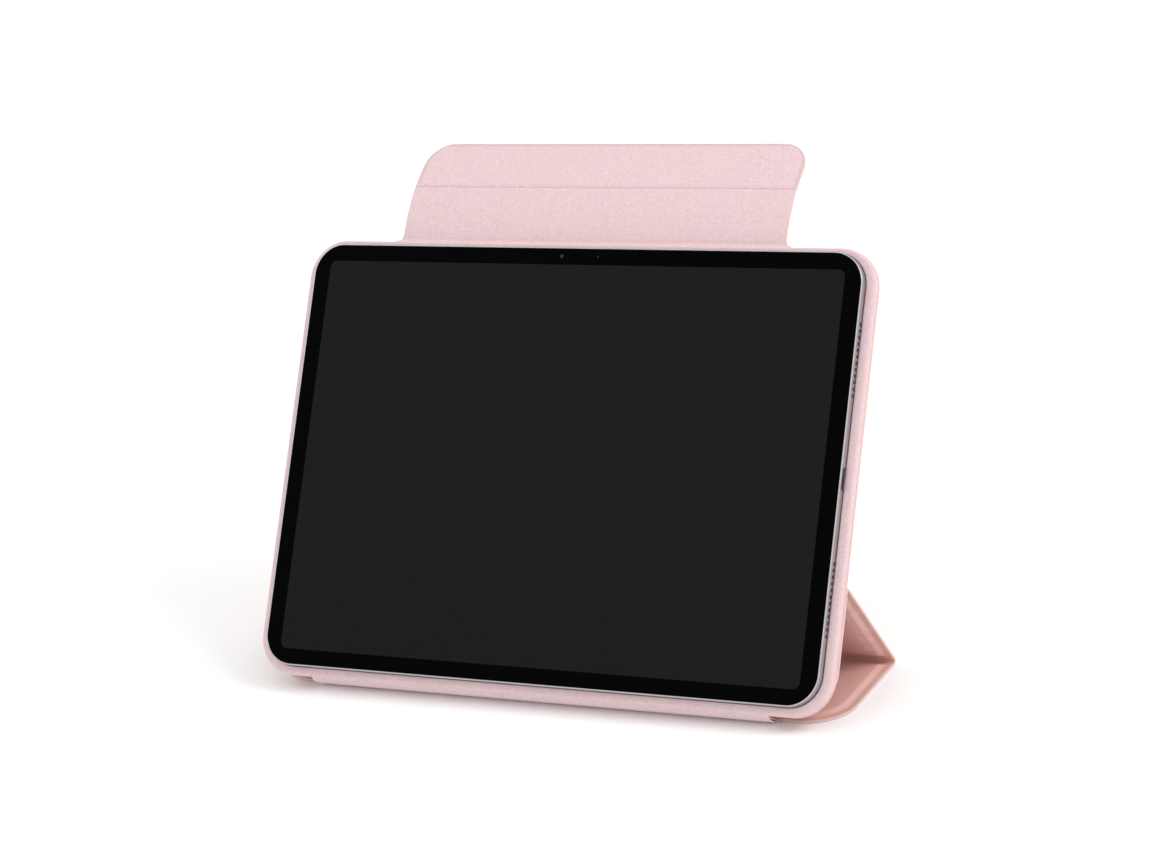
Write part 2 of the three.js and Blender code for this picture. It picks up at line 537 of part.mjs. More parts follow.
// Folds of the stand, in the tablet's y-z plane. The stand's lowest panel is level.
const upperFold = [PANEL_BOTTOM - SPINE_OUT, PANEL_MID_Z];
const spineAngle = THREE.MathUtils.degToRad(SPINE_ANGLE_DEG);
const lowerFold = [
  upperFold[0] + SPINE_W * Math.cos(spineAngle), upperFold[1] + SPINE_W * Math.sin(spineAngle)];
const levelY = (p) => p[0] * Math.cos(THETA) - p[1] * Math.sin(THETA);
const levelZ = (p) => p[0] * Math.sin(THETA) + p[1] * Math.cos(THETA);
const tabletHeight = FOLD_H - levelZ(lowerFold); // glass centre above the table
const frontFoldY = levelY(lowerFold);
const rearFoldY = frontFoldY + STAND_1_FOLDS;

// Second panel: long enough to bring the third panel's fold to the back panel's rear face.
const stand3Z = BASE_REAR_Z - STAND_GAP - FOLD_H;
const rearFoldTabletZ = -rearFoldY * Math.sin(THETA) + (FOLD_H - tabletHeight) * Math.cos(THETA);
const stand2Angle = THREE.MathUtils.degToRad(REAR_PANEL_DEG);
const STAND_2_FOLDS = (stand3Z - rearFoldTabletZ) / Math.sin(Math.PI - THETA - stand2Angle);
const apex = [rearFoldY - STAND_2_FOLDS * Math.cos(stand2Angle),
  FOLD_H + STAND_2_FOLDS * Math.sin(stand2Angle)];
const STAND_3_LENGTH = (apex[1] - PLATEAU_T) / Math.sin(THETA) - FREE_EDGE_CLEARANCE;

const fold = (length) =>
  new THREE.CylinderGeometry(FOLD_R, FOLD_R, length, 10).rotateZ(Math.PI / 2);
function hinged(y, z, angle) {
  const group = new THREE.Group();
  group.position.set(0, y, z);
  group.rotation.x = angle;
  const panel = new THREE.Group(); // the fabric's face is one fold height below the fold
  panel.position.z = -FOLD_H;
  group.add(panel);
  return [group, panel];
}
const STAND_X = PANEL_W / 2;
const [stand1Group, stand1] = hinged(frontFoldY, FOLD_H, 0);
stiffPanel(stand1, "stand_1", STAND_X, SPINE_EDGE, STAND_1_FOLDS - FOLD_EDGE,
  [STAND_CORNER_R, STAND_CORNER_R, SQUARE_R, SQUARE_R], FLANGE, SLOPE);
const [stand2Group, stand2] = hinged(rearFoldY, FOLD_H, Math.PI - stand2Angle);
stiffPanel(stand2, "stand_2", STAND_X, FOLD_EDGE, STAND_2_FOLDS - FOLD_EDGE,
  [SQUARE_R, SQUARE_R, SQUARE_R, SQUARE_R], FLANGE, SLOPE);
node(stand2Group, "rear_fold", fold(PANEL_W - FOLD_SHORT), "leather");
const [stand3Group, stand3] = hinged(...apex, Math.PI + THETA);
const stand3Magnets = [-1, 1].map((side) => [magnetX(side), STAND_3_LENGTH - STAND_MAGNET_IN]);
stiffPanel(stand3, "stand_3", STAND_X, FOLD_EDGE, STAND_3_LENGTH,
  [SQUARE_R, SQUARE_R, STAND_CORNER_R, STAND_CORNER_R], FLANGE, SLOPE, stand3Magnets);
node(stand3Group, "apex_fold", fold(PANEL_W - FOLD_SHORT), "leather");

// Spine: fabric outside, skin inside, between the panel's lower edge and the first stand panel.
const spine = new THREE.Group();
spine.position.set(0, ...upperFold);
spine.rotation.x = spineAngle;
const spineRect = roundedRect(-SPINE_LENGTH / 2, SPINE_EDGE, SPINE_LENGTH / 2,
  SPINE_W - SPINE_EDGE, SPINE_CORNER_R);
node(spine, "spine_lining", plate(spineRect, -FOLD_H, -FOLD_H + LINING_T), "fibre");
node(spine, "spine_skin", plate(spineRect, FOLD_H - SKIN_T, FOLD_H), "leather");

// ---------- the flap ----------
// A flexible strip that curves back, and beyond its crease a stiff tab with a magnet.
const flapFold = [PANEL_TOP + FLAP_FOLD_OUT, PANEL_MID_Z];
const strip = new THREE.Group();
strip.position.set(0, ...flapFold);
const bend = THREE.MathUtils.degToRad(STRIP_BEND_DEG);
const bendR = STRIP_LENGTH / bend;
const BEND_STEPS = 8;
const startAngle = FLAP_FOLD_EDGE / bendR;
const stopAngle = bend - FLAP_FOLD_EDGE / bendR;

// A sheet between two distances in front of the strip's middle surface, curved about x.
function curvedSheet(front, rear) {
  const outline = [];
  for (let i = 0; i <= BEND_STEPS; i++) {
    const a = startAngle + ((stopAngle - startAngle) * i) / BEND_STEPS;
    outline.push([a, front]);
  }
  const points = [...outline, ...outline.map(([a]) => [a, rear]).reverse()]
    .map(([a, out]) => new THREE.Vector2(
      (bendR + out) * Math.sin(a), (bendR + out) * Math.cos(a) - bendR));
  const sheet = new THREE.ExtrudeGeometry(new THREE.Shape(points),
    { depth: FLAP_W, bevelEnabled: false });
  // the shape's x and y become the strip's y and z, and its depth runs along x
  const turn = new THREE.Matrix4().set(0, 0, 1, -FLAP_W / 2, 1, 0, 0, 0, 0, 1, 0, 0, 0, 0, 0, 1);
  return sheet.applyMatrix4(turn);
}
node(strip, "flap_strip_lining", curvedSheet(FOLD_H, FOLD_H - LINING_T), "fibre");
node(strip, "flap_strip_skin", curvedSheet(-FOLD_H + SKIN_T, -FOLD_H), "leather");
const tabGroup = new THREE.Group();
tabGroup.position.set(0, bendR * Math.sin(bend), -bendR * (1 - Math.cos(bend)));
tabGroup.rotation.set(-THREE.MathUtils.degToRad(TAB_LEAN_DEG), Math.PI, 0);
const tab = new THREE.Group();
tab.position.z = -FOLD_H;
tabGroup.add(tab);
strip.add(tabGroup);
stiffPanel(tab, "flap_tab", FLAP_W / 2, FLAP_FOLD_EDGE, TAB_LENGTH + FLAP_FOLD_EDGE,
  [SQUARE_R, SQUARE_R, TAB_CORNER_R, TAB_CORNER_R], TAB_FLANGE, TAB_SLOPE,
  [[0, TAB_LENGTH / 2 + FLAP_FOLD_EDGE]]);

// ---------- assembly ----------
const leaning = new THREE.Group();
leaning.position.z = tabletHeight;
leaning.rotation.x = THETA;
leaning.add(tablet, backPanel, spine, strip);
const assembly = new THREE.Group();
assembly.add(leaning, stand1Group, stand2Group, stand3Group);

// The origin is under the middle of the whole object's box.
assembly.updateMatrixWorld(true);
const extent = new THREE.Box3().setFromObject(assembly, true);
assembly.position.y = -(extent.min.y + extent.max.y) / 2;

export default assembly;
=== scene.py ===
"""Looks of a tablet computer held by its folding magnetic stand case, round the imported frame."""
import json
import math

import bmesh
import bpy
from mathutils import Matrix, Vector
from mathutils.geometry import tessellate_polygon


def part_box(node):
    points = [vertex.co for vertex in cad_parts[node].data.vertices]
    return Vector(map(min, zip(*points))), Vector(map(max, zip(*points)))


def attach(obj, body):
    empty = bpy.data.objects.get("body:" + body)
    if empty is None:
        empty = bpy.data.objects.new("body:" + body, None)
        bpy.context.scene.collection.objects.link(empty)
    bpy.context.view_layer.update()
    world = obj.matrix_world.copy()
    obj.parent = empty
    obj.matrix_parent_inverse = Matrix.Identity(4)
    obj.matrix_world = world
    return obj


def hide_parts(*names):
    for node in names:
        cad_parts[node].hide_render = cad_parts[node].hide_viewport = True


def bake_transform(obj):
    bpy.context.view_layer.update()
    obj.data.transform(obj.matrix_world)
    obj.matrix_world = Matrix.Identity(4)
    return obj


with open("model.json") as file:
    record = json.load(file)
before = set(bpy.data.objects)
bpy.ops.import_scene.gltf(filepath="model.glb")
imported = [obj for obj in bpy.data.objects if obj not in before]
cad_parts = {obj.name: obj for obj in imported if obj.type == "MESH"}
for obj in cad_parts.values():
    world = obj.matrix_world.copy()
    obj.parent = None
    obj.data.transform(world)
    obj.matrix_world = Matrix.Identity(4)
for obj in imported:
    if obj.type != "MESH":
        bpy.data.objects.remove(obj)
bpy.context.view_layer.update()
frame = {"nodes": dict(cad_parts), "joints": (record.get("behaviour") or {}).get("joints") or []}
JOINT = {j["name"]: j for j in frame["joints"]}

# ---------- places, read from the frame ----------
# Each frame below turns millimetres on one part into metres in the model's frame.
MM = 0.001
Z_T = -Vector(JOINT["tablet_lift_off"]["axis"]).normalized()   # out of the screen
Y_T = Vector((0, Z_T.z, -Z_T.y))                               # up along the screen


def frame_at(origin, y_axis, z_axis):
    y = y_axis.normalized()
    z = (z_axis - y * z_axis.dot(y)).normalized()
    m = Matrix((y.cross(z), y, z)).transposed().to_4x4()
    m.translation = origin
    return m @ Matrix.Scale(MM, 4)


def node_points(name):
    return [v.co for v in frame["nodes"][name].data.vertices]


def span(name, axis):
    values = [p.dot(axis) for p in node_points(name)]
    return min(values), max(values)


def pivot(joint):
    return Vector(JOINT[joint]["pos_m"])


glass_y, glass_z = span("cover_glass", Y_T), span("cover_glass", Z_T)
GLASS_CENTRE = Y_T * (sum(glass_y) / 2) + Z_T * glass_z[1]
TABLET = frame_at(GLASS_CENTRE, Y_T, Z_T)
FOLD_A, FOLD_B = pivot("stand_swing"), pivot("spine_fold")
FOLD_R, FOLD_P = pivot("rear_crease"), pivot("apex_crease")
FLAP_F, FLAP_C = pivot("flap_fold"), pivot("flap_crease")
WORLD = frame_at(Vector((0, 0, 0)), Vector((0, 1, 0)), Vector((0, 0, 1)))
UP = Vector((0, 0, 1))


def in_tablet(point):
    p = TABLET.inverted() @ point
    return p.y, p.z


# ---------- sizes, in millimetres ----------
TAB_W = 2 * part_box("rear_housing")[1].x / MM
TAB_H = (span("rear_housing", Y_T)[1] - span("rear_housing", Y_T)[0]) / MM
TAB_T = (span("rear_housing", Z_T)[1] - span("rear_housing", Z_T)[0]) / MM
PANEL_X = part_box("back_panel_skin")[1].x / MM
panel_y = [(p - GLASS_CENTRE).dot(Y_T) / MM for p in node_points("back_panel_skin")]
panel_z = [(p - GLASS_CENTRE).dot(Z_T) / MM for p in node_points("back_panel_skin")]
PANEL_LOW, PANEL_HIGH = min(panel_y), max(panel_y)
REAR_Z = min(panel_z)                 # rear face of the back panel
CORNER_R = 13.0                       # tablet corners
PANEL_R = 16.0
STAND_R = 17.0                        # outer corners of the first and third stand panels
RIM_GAP = 0.15                        # tablet wall to the soft rim
WELL_Z = REAR_Z + 2.2                 # floor the tablet lies on
RIM_Z = WELL_Z + 2.15                 # crest of the soft rim
SEAM_Z = RIM_Z - 2.4                  # where the rim's cloth is tucked behind the leather
FABRIC_T = 0.5
SKIN_T = 0.5
FLANGE_T = 1.1
PLATEAU_T = 2.2
TURNED_T = 0.74                       # cloth turned over a stand panel's edge
FOLD_H = FLANGE_T / 2
BORDER = 2.7                          # flat border of a stand panel
SLOPE = 2.5                           # from that border up to the raised middle
FOLD_EDGE = 2.2                       # from a fold to the panels on either side of it
BUMP = 22.5                           # rear camera plate, across
BUMP_R = 7.0
BUMP_MID = (-TAB_W / 2 + 20, TAB_H / 2 - 20)
CUT_CLEARANCE = 1.4                   # camera plate to the case's cut-out
SPINE_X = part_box("spine_lining")[1].x / MM
FLAP_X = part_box("flap_strip_lining")[1].x / MM
TAB_CORNER_R = 12.0                   # far corners of the flap's tab
BASE_FILLET = 3.6                     # fillets where the flap leaves the back panel
SEG = 18                              # segments in a quarter circle

GLASS_INSET = 0.55                    # tablet's edge to the cover glass
WINDOW_SIDE, WINDOW_LOW, WINDOW_TOP = 7.55, 6.8, 7.2   # tablet's edge to the display
WINDOW_R = 3.0
LENS_AT = (BUMP_MID[0] - 4.5, BUMP_MID[1] + 4.5)
FLASH_AT = (BUMP_MID[0] + 5.65, BUMP_MID[1] - 5.65)
LENS_HOLE_R, FLASH_HOLE_R = 5.4, 2.2
SHELL_HOLE_GROW = 0.3                 # the shell's holes are this much wider than the plate's
SPEAKER_Y = TAB_H / 2 - 42.05         # middle of each group of holes
SPEAKER_HOLES, SPEAKER_PITCH, SPEAKER_D = 12, 2.54, 1.5
VOLUME_X = (-TAB_W / 2 + 24.4, -TAB_W / 2 + 36.9)
POWER_Y = TAB_H / 2 - 17
SOCKET_W, SOCKET_H = 9.3, 3.1
SLOT_W, SLOT_H = 9.3, 1.7             # slots that the buttons stand in
BUTTON_W, BUTTON_H, BUTTON_R = 8.9, 1.3, 0.62
PADS, PAD_PITCH, PAD_L, PAD_W = 6, 0.95, 2.4, 0.44     # on each face of the socket's tongue
CREASE_R = 1.05                       # middle layer of a crease
CREASE_LAP = 0.25                     # crease that lies on each panel


# ---------- mesh helpers ----------
def outline(x0, y0, x1, y1, radii, inset=0.0, seg=SEG):
    """Anticlockwise rounded rectangle; radii run from the bottom left corner."""
    r = [max(v - inset, 0.03) for v in (radii if isinstance(radii, (list, tuple)) else [radii] * 4)]
    x0, y0, x1, y1 = x0 + inset, y0 + inset, x1 - inset, y1 - inset
    corners = ((x0 + r[0], y0 + r[0], r[0], 180), (x1 - r[1], y0 + r[1], r[1], 270),
               (x1 - r[2], y1 - r[2], r[2], 0), (x0 + r[3], y1 - r[3], r[3], 90))
    points = []
    for cx, cy, radius, start in corners:
        for i in range(seg + 1):
            a = math.radians(start + 90 * i / seg)
            points.append((cx + radius * math.cos(a), cy + radius * math.sin(a)))
    return points


def centred(w, h, r, inset=0.0, at=(0, 0), seg=SEG):
    return outline(at[0] - w / 2, at[1] - h / 2, at[0] + w / 2, at[1] + h / 2, r, inset, seg)


def circle(at, radius, z, seg):
    return [(at[0] + radius * math.cos(math.tau * k / seg),
             at[1] + radius * math.sin(math.tau * k / seg), z) for k in range(seg)]


def at_z(points, z):
    return [Vector((x, y, z)) for x, y in points]


class Body:
    """Vertices and faces gathered in one part's frame, then made into an object."""

    def __init__(self):
        self.points, self.faces, self.looks = [], [], []

    def add(self, points):
        first = len(self.points)
        self.points += [Vector(p) for p in points]
        return list(range(first, len(self.points)))

    def face(self, indices, look=0):
        self.faces.append(tuple(indices))
        self.looks.append(look)

    def bridge(self, a, b, look=0, closed=True):
        n = len(a)
        for i in range(n if closed else n - 1):
            j = (i + 1) % n
            self.face((a[i], a[j], b[j], b[i]), look)

    def cap(self, ring, holes=(), look=0):
        loops = [[self.points[i] for i in ring]] + [[self.points[i] for i in h] for h in holes]
        flat = [i for loop in ([ring] + [list(h) for h in holes]) for i in loop]
        if not holes:
            self.face(ring, look)
            return
        for tri in tessellate_polygon(loops):
            self.face([flat[i] for i in tri], look)

    def rings(self, rings, look=0):
        """Adds rings of equal length and bridges each to the next; returns their indices."""
        made = [self.add(r) for r in rings]
        for a, b in zip(made, made[1:]):
            self.bridge(a, b, look)
        return made

    def closed_loft(self, rings, look=0):
        made = self.rings(rings, look)
        self.cap(made[0], look=look)
        self.cap(made[-1], look=look)
        return made

    def make(self, name, place, looks, sharp=32):
        mesh = bpy.data.meshes.new(name)
        mesh.from_pydata([place @ p for p in self.points], [], self.faces)
        for m in looks:
            mesh.materials.append(m)
        mesh.polygons.foreach_set("material_index", self.looks)
        bm = bmesh.new()
        bm.from_mesh(mesh)
        bmesh.ops.remove_doubles(bm, verts=bm.verts, dist=1e-7)
        bmesh.ops.recalc_face_normals(bm, faces=bm.faces)
        bm.to_mesh(mesh)
        bm.free()
        mesh.polygons.foreach_set("use_smooth", [True] * len(mesh.polygons))
        mesh.set_sharp_from_angle(angle=math.radians(sharp))
        obj = bpy.data.objects.new(name, mesh)
        bpy.context.scene.collection.objects.link(obj)
        return obj


def smooth_path(points, count):
    """Even steps along a curve through (y, z) points, each with its unit normal to the left."""
    p = [Vector(q) for q in points]
    p = [2 * p[0] - p[1]] + p + [2 * p[-1] - p[-2]]
    fine = []
    for i in range(1, len(p) - 2):
        for k in range(40):
            t = k / 40
            fine.append(0.5 * (2 * p[i] + (p[i + 1] - p[i - 1]) * t
                               + (2 * p[i - 1] - 5 * p[i] + 4 * p[i + 1] - p[i + 2]) * t * t
                               + (3 * p[i] - p[i - 1] - 3 * p[i + 1] + p[i + 2]) * t ** 3))
    fine.append(p[-2])
    along = [0.0]
    for a, b in zip(fine, fine[1:]):
        along.append(along[-1] + (b - a).length)
    stations, k = [], 0
    for i in range(count):
        s = along[-1] * i / (count - 1)
        while k < len(along) - 2 and along[k + 1] < s:
            k += 1
        t = (s - along[k]) / (along[k + 1] - along[k])
        stations.append((s, fine[k].lerp(fine[k + 1], t)))
    return with_normals(stations)


def with_normals(stations):
    out = []
    for i, (s, q) in enumerate(stations):
        a, b = stations[max(i - 1, 0)][1], stations[min(i + 1, len(stations) - 1)][1]
        t = (b - a).normalized()
        out.append((s, q, Vector((-t.y, t.x))))
    return out


EDGE_STEPS = (0.0, 0.05, 0.12, 0.22, 0.34, 0.5, 0.9, 1.7, 2.1, 2.5, 3.2, 5.0)


def ribbon(name, place, path, half_width, low, high, look, edge_r=0.25, middle=12, ends=(0, 0),
           band=None, band_look=None):
    """A sheet swept along x through a path of (y, z) stations. low and high give its two faces as
    distances along the normal, from the way along and the distance to the side; edges are round.
    ends rounds its first and last edge too. band picks the places that take band_look."""
    body, total = Body(), path[-1][0]
    rows, aways = [], []
    for s, q, n in path:
        w = half_width(s)
        steps = [w - e for e in EDGE_STEPS]
        inner = steps[-1]
        xs = [-x for x in steps] + [inner * (2 * k / middle - 1) for k in range(1, middle)]
        xs += list(reversed(steps))
        lows, highs = [], []
        for x in xs:
            e = w - abs(x)
            near = e
            if ends[0]:
                near = min(near, s)
            if ends[1]:
                near = min(near, total - s)
            t = min(max(near, 0) / edge_r, 1)
            g = max(math.sqrt(1 - (1 - t) ** 2), 0.12)
            a, b = low(s, e), high(s, e)
            mid = (a + b) / 2
            lows.append(Vector((x, *(q + n * (mid + (a - mid) * g)))))
            highs.append(Vector((x, *(q + n * (mid + (b - mid) * g)))))
        rows.append((body.add(lows), body.add(highs)))
        aways.append((s, [w - abs(x) for x in xs]))
    for k, ((la, ha), (lb, hb)) in enumerate(zip(rows, rows[1:])):
        body.bridge(la, lb, closed=False)
        way = (aways[k][0] + aways[k + 1][0]) / 2
        for i in range(len(ha) - 1):
            e = (aways[k][1][i] + aways[k][1][i + 1]) / 2
            body.face((ha[i], ha[i + 1], hb[i + 1], hb[i]), 1 if band and band(way, e) else 0)
        body.face((la[0], lb[0], hb[0], ha[0]))
        body.face((la[-1], lb[-1], hb[-1], ha[-1]))
    for la, ha in (rows[0], rows[-1]):
        body.bridge(la, ha, closed=False)
    return body.make(name, place, [look, band_look] if band else [look], sharp=40)


def smoothstep(t):
    t = min(max(t, 0.0), 1.0)
    return t * t * (3 - 2 * t)


# ---------- materials ----------
class Look:
    """A node material that reads the piece's own coordinates, in metres."""

    def __init__(self, name, **sockets):
        self.material = bpy.data.materials.new(name)
        self.material.use_nodes = True
        self.tree = self.material.node_tree
        self.shader = self.tree.nodes["Principled BSDF"]
        for key, value in sockets.items():
            self.shader.inputs[key.replace("_", " ")].default_value = value
        self.coords = self.tree.nodes.new("ShaderNodeTexCoord").outputs["Object"]

    def node(self, kind, inputs=None, **settings):
        n = self.tree.nodes.new(kind)
        for key, value in settings.items():
            setattr(n, key, value)
        for key, value in (inputs or {}).items():
            if isinstance(value, bpy.types.NodeSocket):
                self.tree.links.new(value, n.inputs[key])
            else:
                n.inputs[key].default_value = value
        return n

    def noise(self, per_metre, detail=2.0, rough=0.5, stretch=None):
        vector = self.coords
        if stretch:
            vector = self.node("ShaderNodeMapping",
                               {"Vector": vector, "Scale": stretch}).outputs[0]
        return self.node("ShaderNodeTexNoise", {"Vector": vector, "Scale": per_metre,
                         "Detail": detail, "Roughness": rough}).outputs["Fac"]

    def cells(self, per_metre, feature="F1"):
        return self.node("ShaderNodeTexVoronoi", {"Vector": self.coords, "Scale": per_metre},
                         feature=feature).outputs["Distance"]

    def spread(self, value, low, high, to_low=0.0, to_high=1.0):
        return self.node("ShaderNodeMapRange", {"Value": value, "From Min": low, "From Max": high,
                         "To Min": to_low, "To Max": to_high}).outputs[0]

    def math(self, operation, a, b=0.0):
        return self.node("ShaderNodeMath", {0: a, 1: b}, operation=operation).outputs[0]

    def mix(self, factor, a, b):
        n = self.node("ShaderNodeMix", data_type="RGBA")
        for socket, value in ((n.inputs[0], factor), (n.inputs[6], a), (n.inputs[7], b)):
            if isinstance(value, bpy.types.NodeSocket):
                self.tree.links.new(value, socket)
            else:
                socket.default_value = value
        return n.outputs[2]

    def bump(self, height, distance, strength=1.0, under=None):
        inputs = {"Height": height, "Distance": distance, "Strength": strength}
        if under is not None:
            inputs["Normal"] = under
        return self.node("ShaderNodeBump", inputs).outputs[0]

    def set(self, **sockets):
        for key, value in sockets.items():
            self.tree.links.new(value, self.shader.inputs[key.replace("_", " ")])
        return self.material


def rgb(r, g, b):
    return (r, g, b, 1.0)


def plain(name, dark, light, grain, rough, metallic=0.0, bump=0.00002, stretch=None, **sockets):
    """Two close shades and a roughness range under one grain, with a fine bump."""
    look = Look(name, Metallic=metallic, **sockets)
    grit = look.noise(grain, 3.0, 0.6, stretch)
    cloud = look.noise(grain / 14, 2.0)
    tone = look.math("ADD", look.math("MULTIPLY", grit, 0.55), look.math("MULTIPLY", cloud, 0.45))
    return look.set(Base_Color=look.mix(look.spread(tone, 0.35, 0.65), dark, light),
                    Roughness=look.spread(tone, 0.3, 0.7, *rough),
                    Normal=look.bump(grit, bump))


def microfibre(name, shade_by=1.0):
    """Short-napped suede cloth: a fine crossed weave under a mottled nap."""
    def tint(r, g, b):
        return rgb(r * shade_by, g * shade_by ** 1.25, b * shade_by ** 1.2)
    look = Look(name, Sheen_Weight=0.22, Sheen_Roughness=0.45, Specular_IOR_Level=0.2,
                Sheen_Tint=rgb(1.0, 0.9, 0.91))
    nap = look.noise(2600, 3.0, 0.65)
    warp = look.noise(2500, 1.0, 0.5, (1.0, 0.45, 0.45))
    weft = look.noise(2500, 1.0, 0.5, (0.4, 1.0, 1.0))
    weave = look.math("MAXIMUM", warp, weft)
    mottle = look.noise(640, 3.0, 0.6)
    cloud = look.noise(22, 2.0)
    grain = look.math("ADD", look.math("MULTIPLY", nap, 0.45), look.math("MULTIPLY", weave, 0.55))
    tone = look.math("ADD", look.math("MULTIPLY", grain, 0.75), look.math("MULTIPLY", mottle, 0.25))
    base = look.mix(look.spread(tone, 0.36, 0.66), tint(0.60, 0.425, 0.445),
                    tint(0.80, 0.625, 0.64))
    shade = look.mix(look.spread(cloud, 0.35, 0.7, 0.0, 0.3), base, tint(0.72, 0.52, 0.53))
    under = look.bump(mottle, 0.00006, 0.4)
    return look.set(Base_Color=shade, Roughness=look.spread(grain, 0.3, 0.7, 0.82, 0.96),
                    Normal=look.bump(grain, 0.00009, 0.9, under))


def leather(name, dark, light, worn):
    """Smooth coated leather: a shallow pebble, fine pores, and a paler wear along its edges."""
    look = Look(name, Specular_IOR_Level=0.42, Coat_Weight=0.06, Coat_Roughness=0.35,
                Sheen_Weight=0.12, Sheen_Roughness=0.5)
    pebble = look.cells(1500, "SMOOTH_F1")
    pores = look.noise(5200, 2.0, 0.7)
    mottle = look.noise(230, 3.0, 0.55)
    cloud = look.noise(26, 2.0)
    tone = look.math("ADD", look.math("MULTIPLY", mottle, 0.6), look.math("MULTIPLY", cloud, 0.4))
    base = look.mix(look.spread(tone, 0.3, 0.7), dark, light)
    edge = look.node("ShaderNodeNewGeometry").outputs["Pointiness"]
    wear = look.math("MULTIPLY", look.spread(edge, 0.53, 0.64),
                     look.spread(mottle, 0.35, 0.6, 0.15, 0.55))
    under = look.bump(pebble, 0.00006, 0.45)
    return look.set(Base_Color=look.mix(wear, base, worn),
                    Roughness=look.spread(pebble, 0.2, 0.8, 0.42, 0.56),
                    Normal=look.bump(pores, 0.00002, 0.5, under))


def anodised(name, dark, light, rough=(0.3, 0.42)):
    """Bead-blasted and anodised aluminium."""
    look = Look(name, Metallic=1.0, Specular_IOR_Level=0.5)
    blast = look.noise(9000, 2.0, 0.7)
    drawn = look.noise(700, 3.0, 0.5, (0.06, 1.0, 1.0))
    tone = look.math("ADD", look.math("MULTIPLY", blast, 0.5), look.math("MULTIPLY", drawn, 0.5))
    edge = look.node("ShaderNodeNewGeometry").outputs["Pointiness"]
    base = look.mix(look.spread(tone, 0.35, 0.65), dark, light)
    return look.set(Base_Color=look.mix(look.spread(edge, 0.53, 0.62, 0.0, 0.35), base,
                                        rgb(0.82, 0.83, 0.84)),
                    Roughness=look.spread(tone, 0.3, 0.7, *rough),
                    Normal=look.bump(blast, 0.000008, 0.6))


def glassy(name, dark, light, level, rough, smear=60):
    """Glass over something dark, with faint smears in its gloss."""
    look = Look(name, Specular_IOR_Level=level)
    grease = look.noise(smear, 4.0, 0.6)
    fine = look.noise(4200, 1.0)
    return look.set(Base_Color=look.mix(fine, dark, light),
                    Roughness=look.spread(grease, 0.35, 0.7, *rough),
                    Normal=look.bump(grease, 0.000002, 0.05))


FIBRE = microfibre("microfibre")
# Darker copy of the cloth: painted shade for the flap's crease line and the low border round its
# tab's step.
FIBRE_PAINTED_SHADE = microfibre("microfibre_painted_shade", 0.91)
LEATHER = leather("leather", rgb(0.665, 0.395, 0.35), rgb(0.745, 0.455, 0.405),
                  rgb(0.82, 0.58, 0.55))
METAL = anodised("anodised_aluminium", rgb(0.47, 0.475, 0.485), rgb(0.56, 0.565, 0.575))
BRIGHT_METAL = anodised("bright_rim", rgb(0.62, 0.63, 0.64), rgb(0.72, 0.73, 0.74), (0.12, 0.2))
BORDER_GLASS = glassy("glass_border", rgb(0.0004, 0.0004, 0.0005), rgb(0.0008, 0.0008, 0.0009),
                      0.02, (0.05, 0.12))
SCREEN_GLASS = glassy("glass_over_display", rgb(0.0104, 0.0104, 0.0104),
                      rgb(0.0116, 0.0116, 0.0116), 0.02, (0.06, 0.13))
LENS = glassy("lens_glass", rgb(0.004, 0.004, 0.008), rgb(0.012, 0.010, 0.02), 0.9, (0.02, 0.05))
LENS_TINT = glassy("front_lens", rgb(0.010, 0.009, 0.034), rgb(0.026, 0.022, 0.075), 0.2,
                   (0.05, 0.1))
FLASH = plain("flash_diffuser", rgb(0.78, 0.74, 0.6), rgb(0.9, 0.88, 0.78), 1800, (0.12, 0.3))
STEEL = plain("sheet_steel", rgb(0.5, 0.5, 0.51), rgb(0.66, 0.66, 0.67), 3000, (0.22, 0.4), 1.0,
              stretch=(0.1, 1, 1))
BLACK = plain("black_plastic", rgb(0.012, 0.012, 0.013), rgb(0.026, 0.026, 0.028), 4000, (0.4, 0.6))
CIRCUIT = plain("circuit_board", rgb(0.006, 0.05, 0.03), rgb(0.012, 0.11, 0.06), 900, (0.35, 0.6),
                bump=0.00008)
FOIL = plain("battery_film", rgb(0.02, 0.021, 0.024), rgb(0.035, 0.036, 0.04), 500, (0.3, 0.55),
             bump=0.00006)
COPPER = plain("flex_copper", rgb(0.42, 0.2, 0.09), rgb(0.6, 0.32, 0.15), 1600, (0.3, 0.5), 0.9)
MAGNET = plain("nickel_plate", rgb(0.42, 0.42, 0.43), rgb(0.56, 0.56, 0.57), 2500, (0.2, 0.35), 1.0)
GREYBOARD = plain("case_board", rgb(0.24, 0.22, 0.19), rgb(0.36, 0.33, 0.29), 1300, (0.8, 0.95),
                  bump=0.0001)
FOAM = plain("rim_foam", rgb(0.62, 0.59, 0.56), rgb(0.74, 0.71, 0.68), 1900, (0.88, 0.98),
             bump=0.00015)
GOLD = plain("contact_gold", rgb(0.72, 0.5, 0.18), rgb(0.86, 0.63, 0.26), 3000, (0.2, 0.35), 1.0)

